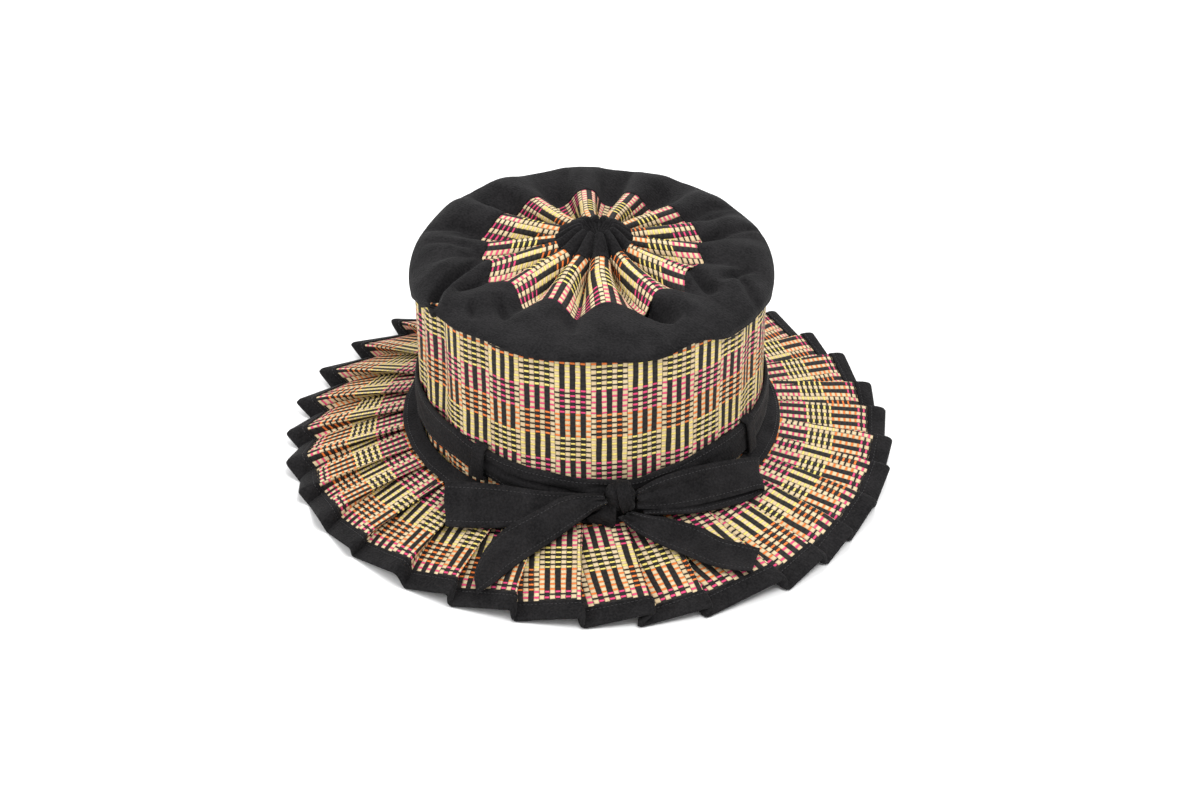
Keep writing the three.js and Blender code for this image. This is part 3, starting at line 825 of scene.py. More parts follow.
@dataclass(frozen=True)
class CrownTop:
    """The rosette's folds and what they have in common with the shoulder and the collar."""

    # The shape of the folds in front, and of those round the back
    shapes: tuple = (MEANDER, Meander(sweep=0.96))
    # Degrees from the front between which the first shape turns into the second
    turns_between: tuple = (95.0, 130.0)
    inner: float = 18.6
    reach: float = 54.5
    # Distance from the axis at which the folds' section is that of the rosette's edge
    section_end: float = 57.5
    # A fold's run is at most this share of its cloth, so that it stays a fold
    fullest: float = 0.995
    # How much further out the edge lies for each millimetre of a fold's depth, the
    # rise at which that has faded, and how much further for each millimetre of rise
    lap: float = 1.3
    lap_end: float = 7.0
    lean: float = 0.7
    top_z: float = 131.5
    edge_z: float = 123.4
    # The gathers are drawn together this far to the right of the crown's axis, and
    # the shift fades between these two distances from it
    drawn: float = 2.7
    drawn_between: tuple = (8, 34)

    def halves(self) -> tuple[Array, Array, Array]:
        """Start and end bearing of each half fold, ridge first, and its valley's depth."""
        ridge, valley, depth, _ = (np.array(column, dtype=float) for column in zip(*FOLDS))
        following = np.append(ridge[1:], ridge[0] + 360)
        start = np.stack([ridge, following], axis=1).reshape(-1)
        end = np.stack([valley, valley], axis=1).reshape(-1)
        return start, end, np.repeat(depth, 2)

    def blend(self, values: Sequence[Array], axes: int = 0) -> Array:
        """Values of both fold shapes mixed: the first in front, the second round the back.

        Args:
            values: one array for each shape, with the half folds on one axis.
            axes: how many axes follow that one.

        Returns:
            Their mean, weighted by a cubic step of the half fold's angle from
            the front.
        """
        start, end, _ = self.halves()
        away = np.abs(signed((start + end) / 2))
        share = smooth(away, *self.turns_between).reshape(-1, *([1] * axes))
        return values[0] * (1 - share) + values[1] * share

    def flat_widths(self) -> Array:
        """Cloth in each half fold: at the outer edge it has the depth in the table."""
        start, end, depth = self.halves()
        run = np.abs(np.radians(end - start)) * self.edge((start + end) / 2, depth / 2)
        widths = []
        for shape in self.shapes:
            omega = shape.omega_for_slope(depth / run)
            widths.append(run / np.interp(omega, *shape.table()[:2]))
        return self.blend(widths)

    def columns(self, radius: Array) -> tuple[Array, Array, Array]:
        """The folded section at each of several radii.

        Args:
            radius: one radius per row.

        Returns:
            Bearing, depth below the ridge line, and flat distance along the
            cloth, each rows by columns. Half folds run from ridge to valley
            and back up to the next ridge, and each one's angle is that at
            which its cloth fits its run.
        """
        start, end, _ = self.halves()
        flat = self.flat_widths()
        run = np.abs(np.radians(end - start)) * radius[:, None]
        across, down = [], []
        for shape in self.shapes:
            omega = shape.omega_for_run(np.minimum(run / flat, self.fullest))
            x, y = shape.curve(omega)
            omegas, runs, depths = shape.table()
            depth = run * np.interp(omega, omegas, depths) / np.interp(omega, omegas, runs)
            across.append(x)
            down.append(depth[..., None] * y)
        bearing = start[:, None] + (end - start)[:, None] * self.blend(across, 1)
        along = np.broadcast_to(np.linspace(0, 1, MEANDER.steps + 1), bearing.shape) * flat[:, None]
        return self.joined(bearing), self.joined(self.blend(down, 1)), self.measured(along, flat)

    @staticmethod
    def joined(values: Array) -> Array:
        """Half folds put end to end: every second one is read from valley to ridge."""
        down, up = values[:, 0::2, :-1], values[:, 1::2, ::-1][:, :, :-1]
        return np.concatenate([down, up], axis=2).reshape(len(values), -1)

    @staticmethod
    def measured(along: Array, flat: Array) -> Array:
        """Flat distance round the cloth at each column."""
        starts = np.concatenate([[0.0], np.cumsum(flat)[:-1]])
        down = starts[0::2, None] + along[:, 0::2, :-1]
        up = starts[1::2, None] + flat[1::2, None] - along[:, 1::2, ::-1][:, :, :-1]
        return np.concatenate([down, up], axis=2).reshape(len(along), -1)

    def rise(self, bearing: Array) -> Array:
        """How far a ridge's outer end stands above the front ones."""
        return round_table(FOLDS, bearing, 3)

    def edge(self, bearing: Array, sink: Array) -> Array:
        """Distance from the axis of the rosette's edge.

        Args:
            bearing: degrees.
            sink: depth of the fold below its ridge line.

        Returns:
            The reach, more by a lap in the valleys, which fades as the ridges
            rise, and more by a lean where they rise.
        """
        rise = self.rise(bearing)
        return self.reach + self.lap * (1 - rise / self.lap_end) * sink + self.lean * rise

    def shift(self, points: Array) -> Array:
        """Points moved to the right near the gathers, by a cubic step of their distance from the axis."""
        radius = np.hypot(points[..., 0], points[..., 1])
        away = self.drawn * (1 - smooth(radius, *self.drawn_between))
        return points + away[..., None] * np.array([1.0, 0.0, 0.0])


TOP = CrownTop()


@dataclass(frozen=True)
class Pucker:
    """A furrow that presses the cloth in along a line of (bearing, radius) points."""

    line: tuple
    depth: float
    width: float
    # How many points are read from the line, and the power of the sine at its ends
    knots: int = 8
    fade: float = 0.8

    def press(self, points: Array) -> Array:
        """Depth at each point.

        Seen from above it is a bell curve of the distance from the line, and
        it fades to nothing at the line's two ends as a sine.
        """
        rows = np.array(self.line, dtype=float)
        knots = through(polar(rows[:, 0], rows[:, 1], 0.0)[:, :2], self.knots)
        start, step = knots[:-1], np.diff(knots, axis=0)
        away = points[..., None, :2] - start
        part = np.clip((away * step).sum(-1) / (step * step).sum(-1), 0, 1)
        gaps = np.linalg.norm(away - part[..., None] * step, axis=-1)
        nearest = gaps.argmin(axis=-1)[..., None]
        place_at = (nearest + np.take_along_axis(part, nearest, axis=-1))[..., 0] / len(start)
        fade = np.sin(np.pi * np.clip(place_at, 0, 1)) ** self.fade
        return self.depth * fade * bell(gaps.min(axis=-1), self.width)


@dataclass
class CrownSide:
    """Woven mat round the head: a cylinder with soft creases."""

    foot_z: float = 16.0
    top_z: float = 114.5
    follow_hem: float = 0.5
    wall: float = 1.1
    # Share of a crease's depth at the foot, and the parts of the way up between
    # which it comes to its full depth
    crease_at_foot: float = 0.35
    crease_grows: tuple = (0.05, 0.75)
    ripple_wide: float = 0.25
    ripple_fine: float = 0.18
    rows: int = 60
    columns: int = 448
    strips: int = 224
    thread_pitch: float = 1.65
    thread_zero: float = 81 - 112 / 1.65

    def ripple(self, bearing: Array, part: Array) -> Array:
        """Waves of a fraction of a millimetre, wide ones with fine ones between."""
        angle = np.radians(bearing)
        wide = self.ripple_wide * np.sin(9 * angle + 3 * part) * np.sin(5 * angle + 1)
        return wide + self.ripple_fine * np.sin(23 * angle + 2 * np.sin(4 * angle) + 1.5 * part)

    def make(self, straw: Material) -> Object:
        """Builds the wall.

        Each point's distance from the axis is the crown's radius less the
        creases, which fade towards the foot, and a ripple.
        """
        bearing = shares(self.columns) * 360
        part = np.linspace(0, 1, self.rows)[:, None]
        top = self.top_z - self.follow_hem * hem_drop(bearing)
        z = self.foot_z + (top - self.foot_z) * part
        grown = smooth(part, *self.crease_grows)
        crease = crease_depth(bearing) * (self.crease_at_foot + (1 - self.crease_at_foot) * grown)
        points = polar(bearing, CROWN_RADIUS - crease + self.ripple(bearing, part), z)
        u = np.arange(self.columns + 1) * self.strips / self.columns
        v = np.concatenate([z, z[:, :1]], axis=1) / self.thread_pitch + self.thread_zero
        uv = np.stack(np.broadcast_arrays(u, v), axis=-1)
        piece = Surface(points, uv).shell(self.wall).build("crown_side_cloth", straw)
        return settle(piece, Slot.MAT, "crown_side")


@dataclass
class Rosette:
    """Woven mat folded into fourteen pleats that deepen towards the collar."""

    wall: float = 0.8
    rows: int = 34
    strips: int = 154
    thread_pitch: float = 1.5
    thread_zero: float = 9.0

    def face(self) -> tuple[Array, Array]:
        """The outer face.

        Returns:
            Points and weave coordinates. A row's folds come from the cloth's
            flat width and the row's radius, and its ridges lie on a cone.
        """
        part = np.linspace(0, 1, self.rows)
        bearing, sink, along = TOP.columns(TOP.inner + (TOP.section_end - TOP.inner) * part)
        edge = TOP.edge(bearing[-1], sink[-1])
        radius = TOP.inner + (edge - TOP.inner) * part[:, None]
        edge_z = TOP.edge_z + TOP.rise(bearing[-1])
        z = TOP.top_z + (edge_z - TOP.top_z) * part[:, None] - sink
        points = TOP.shift(polar(bearing, radius, z))
        total = TOP.flat_widths().sum()
        u = np.concatenate([along, np.full((self.rows, 1), total)], axis=1) * self.strips / total
        inward = (edge - radius) / self.thread_pitch + self.thread_zero
        v = np.concatenate([inward, inward[:, :1]], axis=1)
        return points, np.stack([u, v], axis=-1)

    def make(self, straw: Material) -> Object:
        """Builds the pleated mat as a closed wall."""
        points, uv = self.face()
        piece = Surface(points[::-1], uv[::-1]).shell(self.wall).build("rosette_cloth", straw)
        width = float(TOP.flat_widths().sum()) * MM
        return settle(piece, Slot.MAT, "rosette")


@dataclass
class Shoulder:
    """Black cotton from the rosette's edge over the crown's edge down to its hem."""

    wall: float = 1.2
    rows: int = 84
    lift: float = 0.45
    # Distances from the axis between which the lift ends and the slack starts, and
    # between which the top turns into the side
    slack_from: tuple = (60, 72)
    side_from: tuple = (94.5, 98.0)
    slack_wide: float = 0.32
    slack_fine: float = 0.16
    # Share of a pucker that sinks the cloth on the side, and that pushes it in there
    side_sink: float = 0.25
    side_push: float = 0.5
    # Radius, height, and the shares of the fold's depth, the hem's drop and the rise at the back
    profile: tuple = (
        (0.0, 123.4, 1.0, 0.0, 0.0), (72, 124.2, 0.78, 0.0, 0.85), (83.5, 122.4, 0.42, 0.06, 1.0),
        (92.5, 119.5, 0.16, 0.25, 1.0), (97.6, 116, 0.03, 0.5, 0.8), (97.4, 112, 0.0, 1.0, 0.0),
    )
    puckers: tuple = (
        Pucker(
            ((-84, 56), (-76.2, 66), (-71, 75.6), (-66, 87), (-60, 94), (-57, 101), (-56, 108)), 10.0, 2.6,
        ),
        Pucker(((-70, 64), (-65.3, 78.2), (-61, 86), (-54, 93), (-52, 99)), -2.6, 2.6),
        Pucker(((-63.5, 63), (-61.4, 72.5), (-61, 80)), 4.5, 2.0),
        Pucker(((-92, 60), (-84, 72), (-77, 84), (-73, 96)), -1.8, 4.2),
        Pucker(((-51, 80), (-46.4, 84.6), (-42, 90)), 3.4, 1.8),
        Pucker(((-47, 66), (-39.6, 72.6), (-33, 79)), 5.0, 2.8),
        Pucker(((27, 52), (30.7, 63), (31.5, 73), (33, 82)), 10.0, 3.8),
        Pucker(((47, 56), (44, 66), (42, 78), (43, 90)), -1.6, 5.0),
        Pucker(((72, 54), (62.2, 65.8), (56, 77)), 7.0, 3.4),
        Pucker(((82, 88), (74.5, 78.3), (64, 73)), 3.6, 3.0),
        Pucker(((-12, 60), (-9, 70), (-7, 80)), 4.2, 3.8),
        Pucker(((61, 98), (68, 88), (76, 76)), 3.4, 3.0),
        Pucker(((93, 55), (101, 66), (105.7, 83), (107.4, 98)), 3.4, 2.6),
        Pucker(((-84, 58), (-95, 73), (-98, 92)), 2.6, 3.0),
        Pucker(((122, 60), (126, 76), (124, 94)), 2.6, 3.0),
        Pucker(((150, 60), (147, 78), (150, 96)), 2.6, 3.0),
        Pucker(((172, 60), (168, 78), (166, 97)), 2.8, 3.2),
        Pucker(((-163, 60), (-168, 76), (-173, 96)), 2.8, 2.8),
        Pucker(((-134, 60), (-131, 78), (-136, 97)), 2.8, 3.0),
        Pucker(((-108, 60), (-111, 78), (-107, 96)), 2.8, 3.0),
    )

    def face(self) -> Array:
        """The outer face: the profile swept round the hat with the rosette's folds in it.

        Returns:
            Points. Each row's height is the profile's and its share of the rise
            at the back, less its shares of the fold's depth and of the hem's
            drop and the puckers.
        """
        bearing, sink, _ = TOP.columns(np.array([TOP.section_end]))
        bearing, sink = bearing[0], sink[0]
        rows = np.array(self.profile)
        start = rows[0] + np.stack([TOP.edge(bearing, sink), TOP.rise(bearing)], axis=-1) @ np.eye(2, 5)
        rest = np.broadcast_to(rows[1:, None, :], (len(rows) - 1, len(bearing), 5))
        fine = through(np.concatenate([start[None], rest]), self.rows)
        radius, height, fold, drop, rise = (fine[..., column] for column in range(5))
        z = height - sink * fold - hem_drop(bearing) * drop + round_table(RISE, bearing) * rise
        points = polar(bearing, radius, z)
        on_top = 1 - smooth(radius, *self.side_from)
        pressed = sum(pucker.press(points) for pucker in self.puckers)
        sunk = pressed * (self.side_sink + (1 - self.side_sink) * on_top)
        points[..., 2] += self.soft(bearing, radius) - sunk
        pushed_in = (1 - on_top) * pressed * self.side_push
        return (points - unit(points * [1, 1, 0]) * pushed_in[..., None])[::-1]

    def soft(self, bearing: Array, radius: Array) -> Array:
        """How far the cloth stands up: a lift beside the rosette, and slack waves on the rest of the top."""
        angle = np.radians(bearing)
        wide = self.slack_wide * np.sin(17 * angle + radius / 7)
        fine = self.slack_fine * np.sin(31 * angle - radius / 5)
        away = smooth(radius, *self.slack_from)
        on_top = 1 - smooth(radius, *self.side_from)
        return self.lift * (1 - away) + (wide + fine) * on_top * away

    def make(self, cotton: Material) -> Object:
        """Builds the shoulder as a closed wall."""
        piece = Surface(self.face(), None).shell(self.wall).build("shoulder_cloth", cotton)
        return settle(piece, Slot.COTTON, "crown_shoulder")


@dataclass
class Collar:
    """Gathered black cotton that carries on from the rosette's pleats into the hole."""

    wall: float = 1.0
    rows: int = 64
    overlap: float = 0.55
    # Rows over which the overlap fades
    overlap_rows: tuple = (4, 16)
    # Distance from the axis, height, depth of the folds and their meander angle
    profile: tuple = (
        (20.4, 131.2, 9.4, 1.45), (19.5, 132.0, 9.0, 1.42), (17.6, 133.8, 7.4, 1.36),
        (15.2, 135.8, 5.6, 1.3), (12.6, 137.6, 4.0, 1.2), (10.3, 138.7, 2.8, 1.15),
        (8.6, 138.9, 1.9, 1.1), (7.5, 137.2, 1.2, 1.0), (7.1, 134.0, 0.9, 0.9), (6.9, 127.0, 0.8, 0.9),
    )

    def face(self) -> Array:
        """The outer face: rounded lobes, one on each ridge of the rosette.

        Returns:
            Points. A row's section is the meander of its angle, scaled to the
            fold's run at that radius and to the row's depth.
        """
        rows = through(np.array(self.profile), self.rows)
        start, end, _ = TOP.halves()
        x, y = MEANDER.curve(rows[:, 3:4] * np.ones(len(start)))
        bearing = TOP.joined(start[:, None] + (end - start)[:, None] * x)
        sink = TOP.joined(rows[:, 2, None, None] * y)
        points = polar(bearing, rows[:, 0, None], rows[:, 1, None] - sink)
        near = 1 - smooth(np.arange(self.rows), *self.overlap_rows)
        return TOP.shift(points + normals(points, True) * (self.overlap * near)[:, None, None])

    def make(self, cotton: Material) -> Object:
        """Builds the collar as a closed wall."""
        piece = Surface(self.face(), None).shell(self.wall).build("collar_cloth", cotton)
        return settle(piece, Slot.COTTON, "collar")


@dataclass
class GatheredCore:
    """Tight gathers that close the hole in the collar."""

    radius: float = 7.8
    rim_z: float = 136.4
    depth: float = 3.4
    foot_z: float = 125.4
    rows: int = 26
    columns: int = 240
    gathers: int = 20
    gather_depth: float = 1.5
    gather_round: float = 0.6
    wall_drop: float = 3.5
    # The middle's opening as a share of the radius, and the floor's in millimetres
    top_hole: float = 0.02
    floor_hole: float = 0.2

    def make(self, cotton: Material) -> Object:
        """Builds the plug.

        Its top sinks from the rim to the middle as a cosine, and sharp gathers
        run down it: the height falls by a power of a sine of the bearing.
        """
        bearing = shares(self.columns) * 360
        turn = np.radians(bearing)
        part = np.linspace(1, self.top_hole, self.rows)[:, None]
        way = turn * self.gathers + 1.6 * np.sin(3 * turn) + 2.2 * (1 - part)
        groove = self.gather_depth * (1 - np.abs(np.sin(way / 2)) ** self.gather_round) * (0.35 + part)
        z = self.rim_z - self.depth * np.cos(np.pi * part / 2) - groove
        top = polar(bearing, self.radius * part, z)
        wall = polar(bearing, self.radius, np.array([[self.foot_z], [self.rim_z - self.wall_drop]]))
        floor = polar(bearing, self.floor_hole, np.array([[self.foot_z]]))
        points = TOP.shift(np.concatenate([floor, wall, top]))
        piece = Surface(points, None, wrap_rows=True).build("gathered_core_cloth", cotton)
        return settle(piece, Slot.COTTON, "gathered_core")


@dataclass
class PleatedMat:
    """The form of the brim's knife pleats, shared by the mat and its binding."""

    pleats: int = 33
    drift: float = -1.5
    swing: float = 2.6
    ridge_at: float = 0.98
    inner: float = 95.6
    outer: float = 168.5
    valley_z: float = 3.1
    valley_rise: float = 0.213
    height_inner: float = 3.0
    height_outer: float = 8.0
    flat_pleat: float = 40.0
    flat_spread: float = 1.2
    tucked_pleat: int = 0
    tuck: float = 13.0
    # Pleat, and how many degrees its ridge is turned at the rim
    turned: tuple = (
        (0, 1.4), (1, -0.7), (2, 2.4), (3, 2.0), (20, -1.4), (22, 0.4), (23, 2.0), (24, 2.8), (25, 2.0),
        (26, 1.0), (30, -0.75), (32, 0.85),
    )
    ridge_round: float = 1.8
    ridge_round_rim: float = 4.0
    valley_round: float = 1.2
    settle_at_rim: float = 1.9
    # Distances from the axis between which the valleys ease down, and the tuck comes
    settle_between: tuple = (150, 167)
    tuck_between: tuple = (157, 168)
    # Spread of the random turns, in degrees, and of the random heights, as a share
    turn_spread: float = 0.42
    height_spread: float = 0.07
    # Most that a pleat stands up, and that its roundings take, as shares of its side
    steepest: float = 0.93
    ridge_share: float = 0.42
    valley_share: float = 0.3
    # Least height that a pleat's two sides could reach together
    least_height: float = 1.0
    seed: int = 11
    ridge_steps: int = 6
    drop_steps: int = 4
    valley_steps: int = 4
    slope_steps: int = 10

    def ridge_bearings(self) -> Array:
        """Bearing of each pleat's ridge, with one more a full turn after the first."""
        even = (np.arange(self.pleats + 1) + self.ridge_at) * 360.0 / self.pleats
        return even + self.drift + self.swing * np.sin(np.radians(2 * even))

    def rim_bearings(self) -> Array:
        """Bearing of each ridge at the rim: a random turn more, and the turn in the table."""
        turn = np.random.default_rng(self.seed).normal(0, self.turn_spread, self.pleats)
        at, more = zip(*self.turned)
        turn[list(at)] += more
        return self.ridge_bearings() + np.append(turn, turn[0])

    def flat_widths(self) -> Array:
        """Cloth in each pleat: in proportion to its pitch at the rim, and a random share."""
        pitch = np.diff(self.rim_bearings())
        more = np.random.default_rng(self.seed + 1).normal(0, self.flat_spread, self.pleats)
        return self.flat_pleat * pitch / pitch.mean() + more - more.mean()

    def out(self, radius: Array) -> Array:
        """Share of the way from the crown to the rim."""
        return (radius - self.inner) / (self.outer - self.inner)

    def ridge_lift(self, radius: Array) -> Array:
        """Height of the ridges above the valleys."""
        return self.height_inner + (self.height_outer - self.height_inner) * self.out(radius)

    def cloth_length(self) -> float:
        """Length of the flat mat round the brim, in metres."""
        return self.flat_pleat * self.pleats * MM

    def reach(self, bearing: Array, column: int, radius: Array) -> Array:
        """Distance from the axis of a ridge or a valley.

        Args:
            bearing: degrees.
            column: the rim table's column, 1 for ridges and 2 for valleys.
            radius: distance from the axis if the rim were a circle.

        Returns:
            The radius moved towards the rim table's value there, by the square
            of the way from the crown to the rim.
        """
        return radius + (round_table(RIM, bearing, column) - self.outer) * self.out(radius) ** 2

    def valley_height(self, radius: Array) -> Array:
        """Height of the valleys: a shallow cone that eases down at the rim."""
        rise = self.valley_z + self.valley_rise * (self.outer - radius)
        return rise - self.settle_at_rim * smooth(radius, *self.settle_between)

    def corners(self, radius: Array) -> tuple[Array, Array, Array]:
        """Ridge points, valley points and the flat length of each pleat's short side.

        Args:
            radius: one per row.

        Returns:
            Ridges and valleys as rows by pleats by 3, and rows by pleats. A
            pleat's two sides measure its flat length together, so where the
            pitch is short the ridge hangs over the valley after it. At the rim
            one pleat is tucked under its ridge by a cubic step.
        """
        radius = radius[:, None]
        more = np.random.default_rng(self.seed + 2).normal(0, self.height_spread, self.pleats)
        ridge = self.ridge_bearings()
        ridge = ridge + (self.rim_bearings() - ridge) * self.out(radius)
        pitch = radius * np.radians(np.diff(ridge, axis=1))
        flat = self.flat_widths()
        half = np.sqrt(np.maximum(flat**2 - pitch**2, 4 * self.least_height**2)) / 2
        height = np.minimum(self.ridge_lift(radius) * (1 + more), self.steepest * half)
        back = pitch / 2 - flat / 2 * np.sqrt(1 - (height / half) ** 2)
        back[:, self.tucked_pleat] -= self.tuck * smooth(radius[:, 0], *self.tuck_between)
        floor = self.valley_height(radius)
        ridge, valley = ridge[:, :-1], ridge[:, :-1] + np.degrees(back / radius)
        ridges = polar(ridge, self.reach(ridge, 1, radius), floor + height)
        valleys = polar(valley, self.reach(valley, 2, radius), floor)
        return ridges, valleys, np.hypot(back, height)

    def face(self, radius: Array) -> tuple[Array, Array]:
        """The mat's upper face.

        Args:
            radius: one per row.

        Returns:
            Points, rows by columns by 3, and the flat distance along the cloth
            at each column. Sides are straight, and each ridge and valley is a
            quadratic curve between points on its two sides.
        """
        ridges, valleys, short = self.corners(radius)
        nexts = np.roll(ridges, -1, axis=1)
        befores = np.roll(valleys, 1, axis=1)
        widths = self.flat_widths()
        short = short[..., None]
        long = widths[:, None] - short
        wide = self.ridge_round + (self.ridge_round_rim - self.ridge_round) * self.out(radius)[:, None, None]
        rr = np.minimum(wide, self.ridge_share * short)
        vr = np.minimum(self.valley_round, self.valley_share * short)
        r_out = ridges + unit(valleys - ridges) * rr
        r_in = ridges + unit(befores - ridges) * rr
        v_in = valleys + unit(ridges - valleys) * vr
        v_out = valleys + unit(nexts - valleys) * vr
        next_rr = np.roll(rr, -1, axis=1)
        n_in = nexts + unit(valleys - nexts) * next_rr
        points = np.concatenate([
            self.bend(r_in, ridges, r_out, self.ridge_steps),
            self.line(r_out, v_in, self.drop_steps),
            self.bend(v_in, valleys, v_out, self.valley_steps),
            self.line(v_out, n_in, self.slope_steps),
        ], axis=2)
        flats = np.concatenate([
            rr * (2 * shares(self.ridge_steps) - 1),
            rr + (short - rr - vr) * shares(self.drop_steps),
            short + vr * (2 * shares(self.valley_steps) - 1),
            short + vr + (long - next_rr - vr) * shares(self.slope_steps),
        ], axis=2)
        flats = flats + np.append(0, np.cumsum(widths)[:-1])[:, None]
        rows = len(radius)
        return points.reshape(rows, -1, 3), flats.reshape(rows, -1)

    @staticmethod
    def bend(start: Array, corner: Array, end: Array, steps: int) -> Array:
        """Quadratic curve from start to end with its tangents through the corner."""
        t = shares(steps)[:, None]
        a, b, c = (point[:, :, None, :] for point in (start, corner, end))
        return a * (1 - t) ** 2 + 2 * b * t * (1 - t) + c * t**2

    @staticmethod
    def line(start: Array, end: Array, steps: int) -> Array:
        """Straight line from start to end, without its last point."""
        t = shares(steps)[:, None]
        return start[:, :, None, :] * (1 - t) + end[:, :, None, :] * t


@dataclass
class Brim:
    """The pleated mat of the brim with the folded cotton binding on its edge."""

    mat: PleatedMat = field(default_factory=PleatedMat)
    wall: float = 0.9
    mat_outer: float = 166.5
    rows: int = 44
    strips_in_pleat: int = 14
    ridge_strip: float = 10.5
    thread_pitch: float = 1.65
    thread_zero: float = 9.0
    # Distance from the axis at which the threads' count is that one
    thread_from: float = 106.5
    # The outline's point at which the seam lies, and the stitches' height on it
    seam_row: int = 3
    seam_lift: float = 0.1
    # Step along the mat that gives its slope
    probe: float = 0.5
    # Radius and depth through the mat of the binding's outline; 0 is the mat's
    # upper face and 1 its underside
    outline: tuple = (
        (157.3, -0.3), (157.7, -0.85), (158.6, -1.05), (159.5, -0.85), (160.6, -1.2), (163.0, -1.4),
        (165.4, -1.25), (167.2, -0.75), (168.4, 0.5), (167.2, 1.7), (165.4, 2.1), (162.0, 2.15),
        (159.5, 2.05), (157.9, 1.85), (157.3, 1.3), (160.0, 1.18), (166.9, 1.18), (166.9, -0.18),
        (160.0, -0.18),
    )

    def make_mat(self, straw: Material) -> Object:
        """Builds the pleated mat as a closed wall."""
        radius = np.linspace(self.mat.inner, self.mat_outer, self.rows)
        points, flats = self.mat.face(radius)
        strip = self.mat.flat_pleat / self.strips_in_pleat
        across = flats / strip + self.ridge_strip
        last = across[:, :1] + self.strips_in_pleat * self.mat.pleats
        u = np.concatenate([across, last], axis=1)
        v = (radius[:, None] - self.thread_from) / self.thread_pitch + self.thread_zero
        uv = np.stack(np.broadcast_arrays(u, v), axis=-1)
        piece = Surface(points[::-1], uv[::-1]).shell(self.wall).build("brim_cloth", straw)
        length = self.mat.cloth_length()
        return settle(piece, Slot.MAT, "brim")

    def binding_face(self) -> tuple[Array, Array]:
        """The binding's closed section swept along the pleats.

        Returns:
            Points and outward normals. Each outline point lies on the mat's
            face at its radius, moved along the mat's normal by its depth.
        """
        rows = np.array(self.outline)
        points, _ = self.mat.face(rows[:, 0])
        around = slopes(points, 1, True)
        further, _ = self.mat.face(rows[:, 0] + self.probe)
        facing = unit(np.cross(further - points, around))
        return points - facing * (rows[:, 1] * self.wall)[:, None, None], facing

    def make_binding(self, cotton: Material) -> Object:
        """Builds the binding tape, folded over the mat's edge."""
        points, _ = self.binding_face()
        piece = Surface(points, None, wrap_rows=True).build("binding_cloth", cotton)
        length = self.mat.cloth_length()
        return settle(piece, Slot.COTTON, "brim_binding")

    def seam(self) -> tuple[Array, Array]:
        """The line of stitches along the binding's inner edge, with its normals."""
        points, facing = (self.closed(rows[self.seam_row]) for rows in self.binding_face())
        return points + self.seam_lift * facing, facing

    @staticmethod
    def closed(ring: Array) -> Array:
        """A ring with its first row once more at its end."""
        return np.concatenate([ring, ring[:1]])


@dataclass
class SeamBand:
    """Tape over the seam between the crown and the brim."""

    mat: PleatedMat = field(default_factory=PleatedMat)
    # Distance from the axis and height above the ridges
    outline: tuple = (
        (95.4, 0.5), (95.4, 1.9), (95.6, 3.0), (96.4, 3.2), (97.4, 2.3), (98.5, 1.9), (101.0, 1.95),
        (103.6, 1.8), (105.0, 1.3), (105.3, 0.7), (104.8, 0.35), (100.0, 0.4),
    )
    columns: int = 396
    sag: float = 0.3
    sway: float = 0.25
    # Distances from the axis between which the sag and the sway grow
    sags_from: tuple = (97, 101)
    sways_from: tuple = (97, 104)
    seam_radius: float = 103.2
    seam_height: float = 1.85
    seam_points: int = 400

    def ridge_height(self, radius: Array) -> Array:
        """Height of the pleats' ridges at a radius."""
        return self.mat.valley_height(radius) + self.mat.ridge_lift(radius)

    def wave(self, bearing: Array) -> Array:
        """Rise and fall of the tape, once for each pleat."""
        return self.sag * np.sin(np.radians(self.mat.pleats * bearing))

    def make(self, cotton: Material) -> Object:
        """Builds the tape; it sags by part of a millimetre between the ridges."""
        place_at, above = np.array(self.outline).T[..., None]
        bearing = shares(self.columns) * 360
        sway = self.sway * np.sin(np.radians(7 * bearing)) * smooth(place_at, *self.sways_from)
        radius = place_at + sway
        z = self.ridge_height(radius) + above + self.wave(bearing) * smooth(place_at, *self.sags_from)
        piece = Surface(polar(bearing, radius, z), None, wrap_rows=True).build("seam_band_cloth", cotton)
        return settle(piece, Slot.COTTON, "brim_seam_band")

    def seam(self) -> tuple[Array, Array]:
        """The line of stitches near the tape's outer edge, with its normals."""
        bearing = np.linspace(0, 360, self.seam_points)
        z = self.ridge_height(self.seam_radius) + self.seam_height + self.wave(bearing)
        points = polar(bearing, self.seam_radius, z)
        return points, np.broadcast_to(np.array([0.0, 0.0, 1.0]), points.shape)


